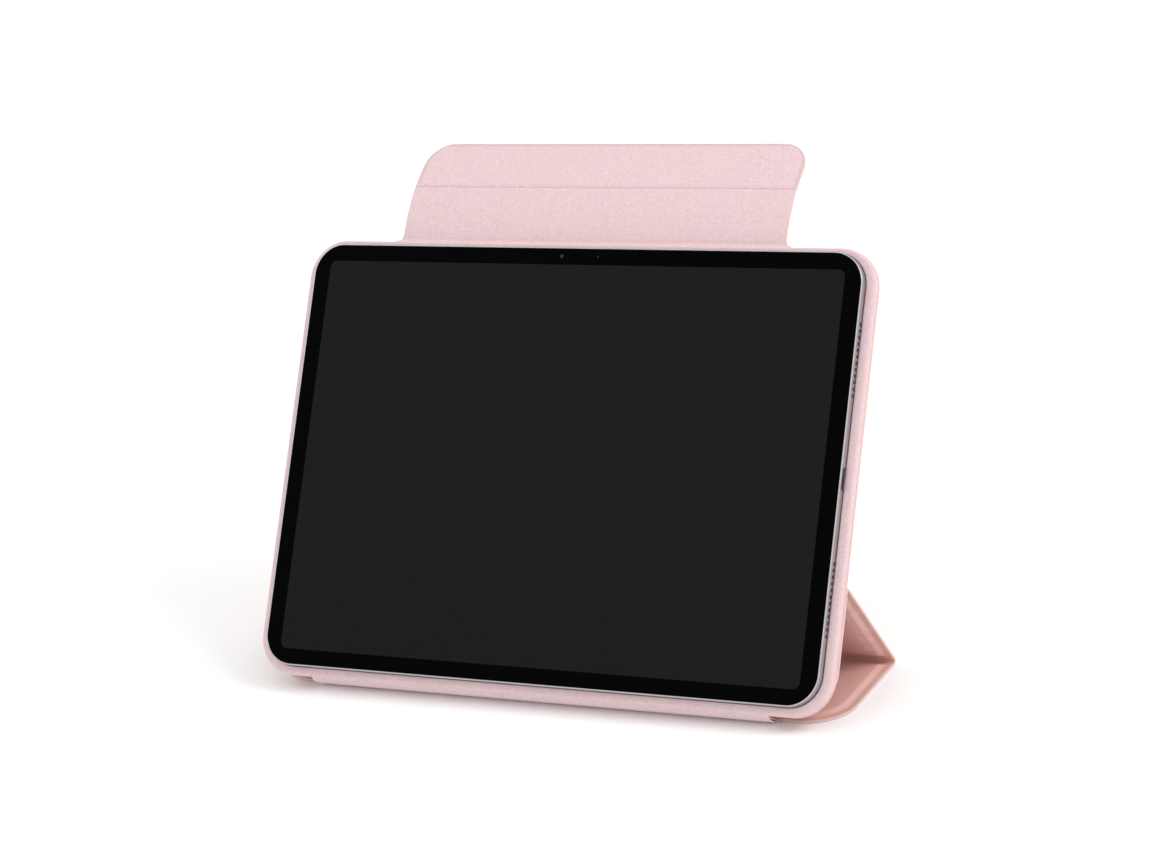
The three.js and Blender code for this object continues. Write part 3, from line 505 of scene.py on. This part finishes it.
NODE_LOOKS = {
    "rear_housing": METAL, "cover_glass": BORDER_GLASS, "display_panel": SCREEN_GLASS,
    "display_backplate": STEEL, "front_camera": LENS, "light_sensor": LENS, "logic_board": CIRCUIT,
    "board_shield": STEEL, "display_flex_cable": COPPER, "usb_c_shell": STEEL,
    "usb_c_tongue": BLACK, "volume_switch_board": CIRCUIT, "power_switch_board": CIRCUIT,
    "rear_camera_plate": METAL, "rear_camera_lens": LENS, "rear_camera_module": BLACK,
    "flash_window": FLASH, "back_panel_rim_core": FOAM,
}
NODE_ENDINGS = (("_button", METAL), ("_lining", FIBRE), ("_skin", LEATHER), ("_board", GREYBOARD),
                ("_fold", LEATHER))
NODE_PARTS = (("magnet", MAGNET), ("battery", FOIL), ("speaker", BLACK), ("screw", STEEL))
for name, node in frame["nodes"].items():
    look = NODE_LOOKS.get(name)
    look = look or next((m for part, m in NODE_PARTS if part in name), None)
    look = look or next((m for end, m in NODE_ENDINGS if name.endswith(end)), BLACK)
    for i in range(max(len(node.material_slots), 1)):
        if i >= len(node.material_slots):
            node.data.materials.append(look)
        else:
            node.material_slots[i].material = look


def settle(piece, body, slot, *nodes):
    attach(piece, body)
    if nodes:
        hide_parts(*nodes)
    return piece


# ---------- camera ----------
# Lens, angles and place, matched to the cover glass's four corners.
FOCAL_MM = 106.31
AZIMUTH, ELEVATION, ROLL = 30.117, 20.142, 8.747
CAMERA_FROM_GLASS = Vector((0.6503, -1.0984, 0.4795))


def make_camera():
    data = bpy.data.cameras.new("camera")
    data.sensor_width, data.lens = 36.0, FOCAL_MM
    cam = bpy.data.objects.new("camera", data)
    bpy.context.scene.collection.objects.link(cam)
    a, e, r = (math.radians(v) for v in (AZIMUTH, ELEVATION, ROLL))
    back = Vector((math.sin(a) * math.cos(e), -math.cos(a) * math.cos(e), math.sin(e)))
    level = (-back).cross(UP).normalized()
    down = (-back).cross(level)
    right = level * math.cos(r) + down * math.sin(r)
    m = Matrix((right, back.cross(right), back)).transposed().to_4x4()
    m.translation = GLASS_CENTRE + CAMERA_FROM_GLASS
    cam.matrix_world = m
    bpy.context.scene.camera = cam


make_camera()


# ---------- the tablet ----------
def housing():
    """Rounded shell with its cavity, then every opening cut through its wall."""
    body = Body()
    wall, seat, floor = 1.6, -0.8, -TAB_T + 0.8

    def level(inset, z):
        return at_z(centred(TAB_W, TAB_H, CORNER_R, inset), z)
    outer = [(1.1, -TAB_T), (0.95, -TAB_T), (0.7, -TAB_T + 0.07), (0.4, -TAB_T + 0.26),
             (0.17, -TAB_T + 0.55), (0.04, -TAB_T + 0.9), (0, -TAB_T + 1.2), (0, -0.5),
             (0.03, -0.3), (0.1, -0.12), (0.2, -0.02), (0.3, 0.0), (0.42, 0.0), (0.45, -0.04),
             (0.45, seat), (wall, seat), (wall, floor)]
    made = body.rings([level(*p) for p in outer])
    holes = {z: [] for z in (-TAB_T, floor)}
    for at, r in ((LENS_AT, LENS_HOLE_R), (FLASH_AT, FLASH_HOLE_R)):
        pair = []
        for z in (-TAB_T, floor):
            ring = body.add(circle(at, r + SHELL_HOLE_GROW, z, 40))
            holes[z].append(ring)
            pair.append(ring)
        body.bridge(*pair)
    body.cap(made[0], holes[-TAB_T])
    body.cap(made[-1], holes[floor])
    shell = body.make("tablet_housing", TABLET, [METAL])
    tools = Body()

    def bar(length, height, depth, centre, along, seg=8):
        """A stadium bar as a cutting tool; along names the axis it runs through the wall."""
        ring = centred(length, height, height / 2 - 0.03, seg=seg)
        turned = []
        for z in (-depth / 2, depth / 2):
            if along == "x":
                turned.append([Vector((z, x, y)) + Vector(centre) for x, y in ring])
            else:
                turned.append([Vector((x, z, y)) + Vector(centre) for x, y in ring])
        tools.closed_loft(turned)
    mid = -TAB_T / 2
    for side in (-1, 1):
        for group in (-1, 1):
            for i in range(SPEAKER_HOLES):
                y = group * SPEAKER_Y + (i - (SPEAKER_HOLES - 1) / 2) * SPEAKER_PITCH
                bar(SPEAKER_D, SPEAKER_D, 3.4, (side * TAB_W / 2, y, mid), "x", 5)
    bar(SOCKET_W, SOCKET_H, 4.4, (TAB_W / 2, 0, mid - 0.2), "x")
    for x in VOLUME_X:
        bar(SLOT_W, SLOT_H, 5.2, (x, TAB_H / 2, mid), "y")
    bar(SLOT_W, SLOT_H, 5.2, (-TAB_W / 2, POWER_Y, mid), "x")
    cutter = tools.make("cutter", TABLET, [BLACK])
    cut = shell.modifiers.new("cut", "BOOLEAN")
    cut.operation, cut.object, cut.solver = "DIFFERENCE", cutter, "EXACT"
    apply_modifiers(shell)
    bpy.data.objects.remove(cutter)
    shell.data.set_sharp_from_angle(angle=math.radians(32))
    return shell


def apply_modifiers(obj):
    dg = bpy.context.evaluated_depsgraph_get()
    mesh = bpy.data.meshes.new_from_object(obj.evaluated_get(dg))
    obj.modifiers.clear()
    obj.data = mesh


settle(housing(), "tablet", "housing_metal", "rear_housing")


def screen_glass():
    """One slab with a rounded front edge: a black border, and the display's window inside it."""
    body = Body()
    w, h, r = TAB_W - 2 * GLASS_INSET, TAB_H - 2 * GLASS_INSET, CORNER_R - GLASS_INSET

    def level(inset, z):
        return at_z(centred(w, h, r, inset), z)
    made = body.rings([level(*p) for p in (
        (0.0, -0.7), (0.0, -0.3), (0.03, -0.16), (0.11, -0.06), (0.24, -0.01), (0.4, 0.0),
        (0.8, 0.0))])
    window = body.add(at_z(outline(-TAB_W / 2 + WINDOW_SIDE, -TAB_H / 2 + WINDOW_LOW,
                                   TAB_W / 2 - WINDOW_SIDE, TAB_H / 2 - WINDOW_TOP, WINDOW_R),
                           0.0))
    body.bridge(made[-1], window)
    body.cap(window, look=1)
    body.cap(made[0])
    return body.make("screen_glass", TABLET, [BORDER_GLASS, SCREEN_GLASS])


settle(screen_glass(), "tablet", "cover_glass", "cover_glass")


def disc(name, at, z_levels, look, place=TABLET, seg=48, looks=None, inner=99):
    """Turned piece: (radius, z) rings about an axis through at; inner is the first step that
    takes the second look."""
    body = Body()
    made = [body.add(circle(at, r, z, seg)) for r, z in z_levels]
    for k, (a, b) in enumerate(zip(made, made[1:])):
        body.bridge(a, b, 1 if k >= inner else 0)
    body.cap(made[0])
    body.cap(made[-1], look=1 if len(made) > inner else 0)
    return body.make(name, place, looks or [look])


FRONT_CAMERA_AT = (-8.0, TAB_H / 2 - 3.75)
SENSOR_AT = (8.5, TAB_H / 2 - 3.75)
settle(disc("front_camera_window", FRONT_CAMERA_AT,
            [(1.5, -0.1), (1.5, 0.003), (1.46, 0.006), (0.75, 0.006), (0.72, 0.004), (0.3, 0.003)],
            None, looks=[BORDER_GLASS, LENS_TINT], inner=3), "tablet", "lens_glass", "front_camera")
settle(disc("light_sensor_window", SENSOR_AT,
            [(0.8, -0.1), (0.8, 0.003), (0.77, 0.006), (0.36, 0.006), (0.34, 0.005)], None, seg=32,
            looks=[BORDER_GLASS, LENS_TINT], inner=4),
       "tablet", "lens_glass", "light_sensor")


def button_cap(name, centre, direction, body_name):
    """Stadium cap with a rounded crown, a fine chamfer and a flange behind the wall."""
    body = Body()
    levels = [(0.0, -1.2), (0.0, 0.22), (0.03, 0.33), (0.1, 0.41), (0.2, 0.45), (0.32, 0.46)]
    rings = []
    for inset, out in levels:
        ring = centred(BUTTON_W, BUTTON_H, BUTTON_R, inset, seg=10)
        if direction == "y":
            rings.append([Vector((centre[0] + x, centre[1] + out, centre[2] + y)) for x, y in ring])
        else:
            rings.append([Vector((centre[0] - out, centre[1] + x, centre[2] + y)) for x, y in ring])
    body.closed_loft(rings)
    settle(body.make(name + "_cap", TABLET, [METAL]), body_name, "housing_metal", name)


for name, x in zip(("volume_up_button", "volume_down_button"), VOLUME_X):
    button_cap(name, (x, TAB_H / 2, -TAB_T / 2), "y", name)
button_cap("power_button", (-TAB_W / 2, POWER_Y, -TAB_T / 2), "x", "power_button")


def contacts():
    """Gold pads on both faces of the socket's tongue."""
    body = Body()
    lo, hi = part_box("usb_c_tongue")
    x1 = hi.x / MM - 0.35
    mid = in_tablet((lo + hi) / 2)
    for face in (-1, 1):
        for k in range(PADS):
            y = mid[0] + (k - (PADS - 1) / 2) * PAD_PITCH
            z = mid[1] + face * 0.35
            pad = (x1 - PAD_L, y - PAD_W / 2, x1, y + PAD_W / 2)
            body.closed_loft([at_z(outline(*pad, 0.08, d, 3), z + face * t)
                              for d, t in ((0.0, 0.0), (0.0, 0.03), (0.04, 0.06))])
    return body.make("socket_contacts", TABLET, [GOLD])


settle(contacts(), "tablet", "flex_copper")


def camera_plate():
    """Raised rear camera plate with soft shoulders and two turned openings."""
    body = Body()
    z0, proud = -TAB_T - 0.1, 1.7

    def level(inset, out):
        return at_z(centred(BUMP, BUMP, BUMP_R, inset, BUMP_MID), z0 - out)
    made = body.rings([level(*p) for p in (
        (0.0, 0.0), (0.0, proud - 0.75), (0.03, proud - 0.5), (0.12, proud - 0.27),
        (0.27, proud - 0.1), (0.46, proud - 0.02), (0.65, proud), (1.0, proud))])
    low, high = [], []
    for at, r in ((LENS_AT, LENS_HOLE_R), (FLASH_AT, FLASH_HOLE_R)):
        rings = []
        for d, out in ((0.0, 0.0), (0.0, proud - 0.12), (0.04, proud - 0.04), (0.12, proud)):
            rings.append(body.add(circle(at, r + d, z0 - out, 48)))
        for a, b in zip(rings, rings[1:]):
            body.bridge(a, b)
        low.append(rings[0])
        high.append(rings[-1])
    body.cap(made[0], low)
    body.cap(made[-1], high)
    return body.make("camera_plate", TABLET, [METAL])


settle(camera_plate(), "tablet", "housing_metal", "rear_camera_plate")
LENS_Z = -TAB_T - 1.8
settle(disc("camera_lens_ring", LENS_AT,
            [(5.3, LENS_Z + 0.9), (5.3, LENS_Z - 0.12), (5.2, LENS_Z - 0.2), (4.75, LENS_Z - 0.2),
             (4.62, LENS_Z - 0.1), (4.62, LENS_Z + 0.55), (4.62, LENS_Z + 0.9)], BRIGHT_METAL),
       "tablet", "housing_metal")
settle(disc("camera_lens", LENS_AT,
            [(4.5, LENS_Z + 0.6), (4.5, LENS_Z + 0.1), (4.3, LENS_Z), (3.4, LENS_Z + 0.02),
             (3.3, LENS_Z + 0.12), (2.3, LENS_Z + 0.2), (2.2, LENS_Z + 0.32), (1.2, LENS_Z + 0.3),
             (0.5, LENS_Z + 0.26)], LENS), "tablet", "lens_glass", "rear_camera_lens")
settle(disc("flash_lens", FLASH_AT,
            [(2.1, LENS_Z + 2.4), (2.1, LENS_Z + 0.08), (2.0, LENS_Z), (1.65, LENS_Z + 0.02),
             (1.6, LENS_Z + 0.12), (1.25, LENS_Z + 0.02), (1.2, LENS_Z + 0.12),
             (0.85, LENS_Z + 0.02), (0.8, LENS_Z + 0.12), (0.4, LENS_Z + 0.03)], FLASH, seg=36),
       "tablet", "lens_glass", "flash_window")


# ---------- the back panel ----------
def panel_outline(inset=0.0):
    return outline(-PANEL_X, PANEL_LOW, PANEL_X, PANEL_HIGH, PANEL_R, inset)


def well_outline(inset=0.0):
    return centred(TAB_W, TAB_H, CORNER_R, inset)


def across(outside, inside, t=None, outer_mm=None, inner_mm=None):
    """Ring between two rings: a share of the way, or a distance from one of them."""
    ring = []
    for (ax, ay), (bx, by) in zip(outside, inside):
        width = math.hypot(bx - ax, by - ay)
        if t is None:
            k = 1 - inner_mm / width if outer_mm is None else outer_mm / width
        else:
            k = t
        ring.append((ax + (bx - ax) * k, ay + (by - ay) * k))
    return ring


def rim_fabric():
    """Cloth over the well's floor and the soft rim, turned under at the outside."""
    body = Body()
    out, inn = panel_outline(), well_outline(-RIM_GAP)
    under = WELL_Z - FABRIC_T
    tucked = [(0.58, under), (0.58, SEAM_Z + 0.06), (0.35, SEAM_Z + 0.03), (0.1, SEAM_Z + 0.06)]
    profile = [(0.0, SEAM_Z + 0.16), (0.0, RIM_Z - 1.05), (0.012, RIM_Z - 0.85),
               (0.045, RIM_Z - 0.58), (0.1, RIM_Z - 0.34), (0.18, RIM_Z - 0.15),
               (0.28, RIM_Z - 0.04), (0.4, RIM_Z), (0.54, RIM_Z), (0.68, RIM_Z - 0.03),
               (0.8, RIM_Z - 0.07), (0.89, RIM_Z - 0.13), (0.95, RIM_Z - 0.23), (0.99, RIM_Z - 0.4),
               (1.0, RIM_Z - 0.65), (1.0, WELL_Z + 0.2)]
    rings = [at_z(across(out, inn, outer_mm=d), z) for d, z in tucked]
    rings += [at_z(across(out, inn, t), z) for t, z in profile]
    rings += [at_z(well_outline(-RIM_GAP + 0.08), WELL_Z + 0.06),
              at_z(well_outline(-RIM_GAP + 0.25), WELL_Z),
              at_z(well_outline(-RIM_GAP + 0.8), WELL_Z)]
    inner = [at_z(across(out, inn, outer_mm=1.0), under),
             at_z(across(out, inn, outer_mm=1.0), RIM_Z - 1.1),
             at_z(across(out, inn, t=0.42), RIM_Z - 0.55),
             at_z(across(out, inn, inner_mm=0.45), RIM_Z - 1.1),
             at_z(across(out, inn, inner_mm=0.45), under)]
    top = body.rings(rings)
    low = body.rings(inner)
    body.bridge(top[0], low[0])
    holes = camera_hole(body, (WELL_Z, under))
    body.cap(top[-1], [holes[0]])
    body.cap(low[-1], [holes[-1]])
    return body.make("back_panel_fabric", TABLET, [FIBRE], sharp=50)


def camera_hole(body, levels, look=0, bevel=None):
    """Wall of the camera cut-out through a panel; returns its rings from the first level on."""
    rings = []
    for i, z in enumerate(levels):
        grow = bevel[i] if bevel else 0.0
        hole = centred(BUMP, BUMP, BUMP_R, -CUT_CLEARANCE - grow, BUMP_MID)
        rings.append(body.add(at_z(hole, z)))
    for a, b in zip(rings, rings[1:]):
        body.bridge(a, b, look)
    return rings


def rear_leather():
    """Leather back with rolled edges, a pressed line inside its edge and round the camera."""
    body = Body()
    top, pocket = WELL_Z - FABRIC_T - 0.03, WELL_Z - 1.65

    def level(inset, z):
        return at_z(panel_outline(inset), z)
    inside = [level(1.4, pocket), level(1.4, top), level(0.54, top)]
    outside = [(0.54, SEAM_Z - 0.06), (0.45, SEAM_Z), (0.14, SEAM_Z), (0.03, SEAM_Z - 0.06),
               (0.0, SEAM_Z - 0.18), (0.0, REAR_Z + 0.62), (0.04, REAR_Z + 0.38),
               (0.15, REAR_Z + 0.18), (0.32, REAR_Z + 0.05), (0.55, REAR_Z), (2.1, REAR_Z),
               (2.3, REAR_Z + 0.05),
               (2.5, REAR_Z + 0.11), (2.7, REAR_Z + 0.05), (2.9, REAR_Z), (3.4, REAR_Z)]
    made = body.rings(inside + [level(*p) for p in outside])
    holes = camera_hole(body, (pocket, REAR_Z + 0.5, REAR_Z + 0.2, REAR_Z + 0.05, REAR_Z, REAR_Z,
                               REAR_Z + 0.1, REAR_Z, REAR_Z),
                        bevel=(0, 0, 0.05, 0.18, 0.38, 1.5, 1.8, 2.1, 2.5))
    body.cap(made[0], [holes[0]])
    body.cap(made[-1], [holes[-1]])
    return body.make("back_panel_leather", TABLET, [LEATHER], sharp=50)


rim_cloth = settle(rim_fabric(), "back_panel", "microfibre", "back_panel_lining")
settle(rear_leather(), "back_panel", "leather_skin", "back_panel_skin")


# ---------- the stand's panels ----------
def stand_panel(name, place, near, far, radii, body_name):
    """Cloth on one face; leather with a flat border, a slope and a raised middle on the other."""
    def level(inset, z):
        return at_z(outline(-PANEL_X, near, PANEL_X, far, radii, inset), z)
    cloth = Body()
    cloth.closed_loft([level(*p) for p in (
        (0.45, 0.0), (0.22, 0.0), (0.09, 0.05), (0.02, 0.14), (0.0, 0.28), (0.0, TURNED_T - 0.16),
        (0.04, TURNED_T - 0.05), (0.14, TURNED_T), (0.7, TURNED_T), (0.9, TURNED_T - 0.04),
        (1.0, FABRIC_T), (1.4, FABRIC_T))])
    piece = cloth.make(f"{name}_fabric", place, [FIBRE], sharp=50)
    settle(piece, body_name, "microfibre", f"{name}_lining")
    hide = Body()
    low, flat, top = FABRIC_T + 0.04, FLANGE_T, PLATEAU_T
    edge = TURNED_T + 0.03
    rows = [(BORDER + SLOPE - 0.15, top - SKIN_T + 0.03), (BORDER + SLOPE - 0.15, low), (1.15, low),
            (1.05, edge - 0.05), (0.95, edge), (0.22, edge), (0.1, edge + 0.03), (0.06, edge + 0.1),
            (0.07, flat - 0.13), (0.12, flat - 0.06), (0.2, flat - 0.01), (0.32, flat), (0.5, flat),
            (BORDER - 0.5, flat), (BORDER - 0.2, flat - 0.08), (BORDER - 0.02, flat - 0.04)]
    for k in range(1, 11):
        t = k / 10
        rows.append((BORDER + (SLOPE + 0.1) * t, flat + (top - flat) * smoothstep(t ** 0.9)))
    rows += [(BORDER + SLOPE + 1.2, top + 0.03), (BORDER + SLOPE + 3.5, top + 0.05)]
    made = hide.rings([level(*p) for p in rows])
    hide.cap(made[0])
    hide.cap(made[-1])
    piece = hide.make(f"{name}_leather", place, [LEATHER], sharp=50)
    settle(piece, body_name, "leather_skin", f"{name}_skin")


def panel_frame(fold, direction, up):
    """Panel frame whose cloth lies one fold height below the fold."""
    m = frame_at(fold, direction, up)
    z = (up - direction.normalized() * up.dot(direction.normalized())).normalized()
    m.translation = fold - z * (FOLD_H * MM)
    return m


def panel_reach(name, fold, direction):
    d = direction.normalized()
    values = [(p - fold).dot(d) / MM for p in node_points(name)]
    return min(values), max(values)


SQUARE_R = 1.2
DIR_1, DIR_2, DIR_3 = FOLD_R - FOLD_B, FOLD_P - FOLD_R, -Y_T
STANDS = (("stand_1", FOLD_B, DIR_1, UP, (STAND_R, STAND_R, SQUARE_R, SQUARE_R), "stand_panel_1"),
          ("stand_2", FOLD_R, DIR_2, -UP - Vector((0, 1, 0)) * 2, (SQUARE_R,) * 4, "stand_panel_2"),
          ("stand_3", FOLD_P, DIR_3, -Z_T, (SQUARE_R, SQUARE_R, STAND_R, STAND_R), "stand_panel_3"))
for name, fold, direction, up, radii, body_name in STANDS:
    near, far = panel_reach(f"{name}_lining", fold, direction)
    stand_panel(name, panel_frame(fold, direction, up), near, far, radii, body_name)


# ---------- creases of the stand ----------
def yz(v):
    return Vector((v.y, v.z)) / MM


def crease(name, fold, before, after, half_width, node):
    """Cloth outside and leather inside, bent round a fold between two panels."""
    a, b = yz(before).normalized(), yz(after).normalized()
    centre = yz(fold)
    reach, r = FOLD_EDGE + CREASE_LAP, CREASE_R
    turn = math.acos(max(-1.0, min(1.0, a.dot(b))))
    tangent = min(r * math.tan(turn / 2), reach - 0.3)
    r = tangent / math.tan(turn / 2)
    side = 1 if a.x * b.y - a.y * b.x > 0 else -1
    n = Vector((-a.y, a.x)) * side
    hub = centre - a * tangent + n * r
    points = [(0.0, centre - a * reach)]
    for k in range(1, 4):
        points.append((0.0, centre - a * (reach + (tangent - reach) * k / 4)))
    for k in range(15):
        t = turn * k / 14
        arm = -n * math.cos(t) + a * math.sin(t)
        points.append((0.0, hub + arm * r))
    for k in range(3, -1, -1):
        points.append((0.0, centre + b * (reach + (tangent - reach) * k / 4)))
    stations, s = [], 0.0
    for i, (_, q) in enumerate(points):
        s += (q - points[i - 1][1]).length if i else 0.0
        stations.append((s, q))
    path = with_normals(stations)
    inward = 1 if side > 0 else -1

    def faces(near, far):
        low, high = sorted((near * inward, far * inward))
        return (lambda s, e: low), (lambda s, e: high)
    for part, look, near, far, slot in (("fabric", FIBRE, -0.53, -0.03, "microfibre"),
                                        ("leather", LEATHER, 0.0, 0.52, "leather_skin")):
        piece = ribbon(f"{name}_{part}", WORLD, path, lambda s: half_width, *faces(near, far), look)
        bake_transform(piece)
        if part == "leather":
            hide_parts(node)


crease("rear_crease", FOLD_R, DIR_1, DIR_2, PANEL_X - 0.05,
       "rear_fold")
crease("apex_crease", FOLD_P, DIR_2, DIR_3, PANEL_X - 0.05,
       "apex_fold")


# ---------- the spine ----------
def split_path(path, at):
    """Two paths that share the station nearest the given place along the way."""
    k = min(range(len(path)), key=lambda i: abs(path[i][0] - at))
    tail = [(s - path[k][0], q, n) for s, q, n in path[k:]]
    return path[:k + 1], tail


SPINE_BEND = 0.0016                   # metres either side of a fold; the points made from it are not used


def tablet_yz(y, z):
    return yz(TABLET @ Vector((0, y, z)))


spine_mid = (yz(FOLD_A) + yz(FOLD_B)) / 2
out = (yz(FOLD_B) - yz(FOLD_A)).normalized()
away = Vector((out.y, -out.x))                 # from the spine's middle to the cloth side
B = yz(FOLD_B)
cloth_points = [tablet_yz(PANEL_LOW + 0.35, WELL_Z + 1.0),
                tablet_yz(PANEL_LOW - 0.12, WELL_Z + 0.2),
                tablet_yz(PANEL_LOW - 0.62, WELL_Z - 0.6),
                yz(FOLD_A) + away * 0.5 + out * 0.6, spine_mid + away * 0.75 - out * 0.4,
                spine_mid + away * 0.72 + out * 1.4, B + away * 0.42 - out * 0.35,
                B + Vector((0.35, -0.3)), B + Vector((1.6, -0.3))]
hide_points = [tablet_yz(PANEL_LOW + 0.5, REAR_Z + 0.42),
               tablet_yz(PANEL_LOW - 0.1, REAR_Z + 0.6),
               yz(FOLD_A) - away * 0.28 + out * 1.2, spine_mid - away * 0.3,
               B - away * 0.2 - out * 1.0, B + Vector((0.45, 0.3)), B + Vector((1.7, 0.32))]


def spine_sheet(part, points, look, node):
    """Two pieces that meet at the spine's middle, each curved round one of its folds."""
    path = smooth_path(points, 45)
    first, second = split_path(path, path[-1][0] / 2)
    along = (FOLD_B - FOLD_A).normalized() * SPINE_BEND
    halves = ((first, "upper", ("back_panel", "spine"), FOLD_A + Z_T * SPINE_BEND,
               FOLD_A + along),
              (second, "lower", ("spine", "stand_panel_1"), FOLD_B - along,
               FOLD_B + Vector((0, SPINE_BEND, 0))))
    for path_half, which, bodies, start, end in halves:
        piece = ribbon(f"spine_{part}_{which}", WORLD, path_half, lambda s: SPINE_X,
                       lambda s, e: -FABRIC_T / 2, lambda s, e: FABRIC_T / 2, look, edge_r=0.22)
        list(bodies)
        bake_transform(piece)
        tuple(start)
        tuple(end)
        if which == "lower":
            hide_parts(node)


spine_sheet("fabric", cloth_points, FIBRE, "spine_lining")
spine_sheet("leather", hide_points, LEATHER, "spine_skin")


# ---------- the flap ----------
F_Y, F_Z = in_tablet(FLAP_F)
C_Y, C_Z = in_tablet(FLAP_C)
tab_cloth = [Vector(in_tablet(p)) - Vector((C_Y, C_Z)) for p in node_points("flap_tab_lining")]
c_to_far = max(tab_cloth, key=lambda v: v.length)
LEAN = math.atan2(-c_to_far.y, c_to_far.x)
strip_chord = Vector((C_Y - F_Y, C_Z - F_Z))
bend = 2 * math.atan2(-strip_chord.y, strip_chord.x)
bend_r = strip_chord.length / (2 * math.sin(bend / 2))
STRIP_L = bend_r * bend
lean_of_far = math.asin(min(1.0, FOLD_H / c_to_far.length))
TAB_ANGLE = LEAN + lean_of_far
TAB_L = c_to_far.length * math.cos(lean_of_far)


def flap_path(lead_z):
    """From inside the back panel's edge, over the fold, along the bent strip and the tab."""
    lead = smooth_path([(PANEL_HIGH - 0.5, lead_z),
                        (PANEL_HIGH + 0.25, lead_z + (F_Z - lead_z) * 0.45),
                        (F_Y + 0.3, F_Z), (F_Y + 2.0, F_Z - 0.03)], 9)
    stations = [q for _, q, _ in lead[:-2]]
    count = 34
    for k in range(2, count + 1):
        a = bend * k / count
        stations.append(Vector((F_Y + bend_r * math.sin(a), F_Z + bend_r * (math.cos(a) - 1))))
    heading = Vector((math.cos(TAB_ANGLE), -math.sin(TAB_ANGLE)))
    last = stations[-1]
    ways = [0.25, 0.5, 0.75, 1.0, 1.3, 1.6, 2.0, 2.6, 3.3]
    ways += [3.3 + (TAB_L - 3.3) * k / 18 for k in range(1, 16)]
    ways += [TAB_L - d for d in (2.2, 2.0, 1.8, 1.6, 1.5, 1.3, 1.0, 0.8, 0.6, 0.4, 0.25, 0.12,
                                 0.04, 0.0)]
    for w in sorted(set(round(v, 4) for v in ways)):
        stations.append(last + heading * w)
    out_path, s = [], 0.0
    for i, q in enumerate(stations):
        s += (q - stations[i - 1]).length if i else 0.0
        out_path.append((s, q))
    return with_normals(out_path)


def flap_half_width(s, start, total):
    """Fillets at its base and rounded corners at its far end."""
    w = FLAP_X
    rise = s - start
    if rise < BASE_FILLET:
        w += BASE_FILLET - math.sqrt(max(BASE_FILLET ** 2 - (BASE_FILLET - max(rise, 0)) ** 2, 0))
    left = total - s
    if left < TAB_CORNER_R:
        w += math.sqrt(max(TAB_CORNER_R ** 2 - (TAB_CORNER_R - left) ** 2, 0)) - TAB_CORNER_R
    return w


def flap():
    cloth, hide = flap_path(F_Z + 1.1), flap_path(F_Z - 0.35)
    for part, path, look, slot, strip_node, tab_node in (
            ("fabric", cloth, FIBRE, "microfibre", "flap_strip_lining", "flap_tab_lining"),
            ("leather", hide, LEATHER, "leather_skin", "flap_strip_skin", "flap_tab_skin")):
        total = path[-1][0]
        crease_at = total - TAB_L
        start = next(s for s, q, _ in path if q.x > PANEL_HIGH)

        def front(s, e):
            """Cloth face: a pressed line at the crease and a low step over the tab's board."""
            groove = 0.36 * math.exp(-((s - crease_at) / 0.42) ** 2)
            inset = min(e, s - crease_at + 0.6, total - s)
            return 0.52 - groove + 0.24 * smoothstep((inset - 1.5) / 0.5)

        def rear(s, e):
            """Leather face: the tab's raised middle inside its border."""
            inset = min(e, s - crease_at - 0.8, total - s)
            groove = 0.12 * math.exp(-((s - crease_at) / 0.6) ** 2)
            return -0.55 + groove - 1.1 * smoothstep((inset - 1.7) / 0.9)
        if part == "fabric":
            low, high = (lambda s, e: 0.04), front
        else:
            def high(s, e, rear=rear):
                return min(-0.02, rear(s, e) + 0.5)
            low = rear
        middle_at = start + STRIP_L / 2
        first, second = split_path(path, middle_at)
        offset = path[len(first) - 1][0]
        piece = ribbon(f"flap_{part}_lower", TABLET, first,
                       lambda s: flap_half_width(s, start, total), low, high, look, 0.3, 20)
        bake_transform(piece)
        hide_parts(strip_node)
        bands = {}
        if part == "fabric":
            line_at = crease_at - offset

            # Painted shade: the darker cloth goes on the crease line's groove and on the tab's
            # border outside its step.
            def band(s, e):
                on_line = line_at - 0.35 < s < line_at + 0.4
                return on_line or s > line_at + 0.9 and min(e, total - offset - s) < 1.6
            bands = {"band": band, "band_look": FIBRE_PAINTED_SHADE}
        piece = ribbon(f"flap_{part}_upper", TABLET, second,
                       lambda s: flap_half_width(s + offset, start, total),
                       lambda s, e: low(s + offset, e), lambda s, e: high(s + offset, e),
                       look, 0.3, 20, ends=(0, 1), **bands)
        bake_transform(piece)
        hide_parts(tab_node)


flap()


# ---------- stage and light, in metres and watts ----------
FLOOR_SIZE, FLOOR_DROP = 60, 0.0002
WORLD_LIGHT = 0.95
LIGHT_AIM = Vector((0, 0, 0.09))
LIGHTS = (("key", (-2.0, -0.5, 1.7), 1.0, 6.0),      # name, place, diameter, power
          ("side", (1.45, 0.0, 1.45), 0.9, 13.0))


def stage():
    bpy.ops.mesh.primitive_plane_add(size=FLOOR_SIZE, location=(0, 0, -FLOOR_DROP))
    floor = bpy.context.object
    floor.name = "floor"
    look = Look("floor_white", Roughness=0.9, Specular_IOR_Level=0.1)
    look.shader.inputs["Base Color"].default_value = rgb(0.98, 0.98, 0.98)
    floor.data.materials.append(look.material)
    world = bpy.data.worlds.new("studio")
    bpy.context.scene.world = world
    world.use_nodes = True
    sky = world.node_tree.nodes["Background"]
    sky.inputs["Color"].default_value = rgb(1.0, 1.0, 1.0)
    sky.inputs["Strength"].default_value = WORLD_LIGHT
    for name, place, size, watts in LIGHTS:
        data = bpy.data.lights.new(name, "AREA")
        data.shape, data.size, data.energy = "DISK", size, watts
        lamp = bpy.data.objects.new(name, data)
        lamp.location = place
        aim = LIGHT_AIM - Vector(place)
        lamp.rotation_mode = "QUATERNION"
        lamp.rotation_quaternion = aim.to_track_quat("-Z", "Y")
        bpy.context.scene.collection.objects.link(lamp)
    bpy.context.scene.view_settings.view_transform = "Standard"


stage()
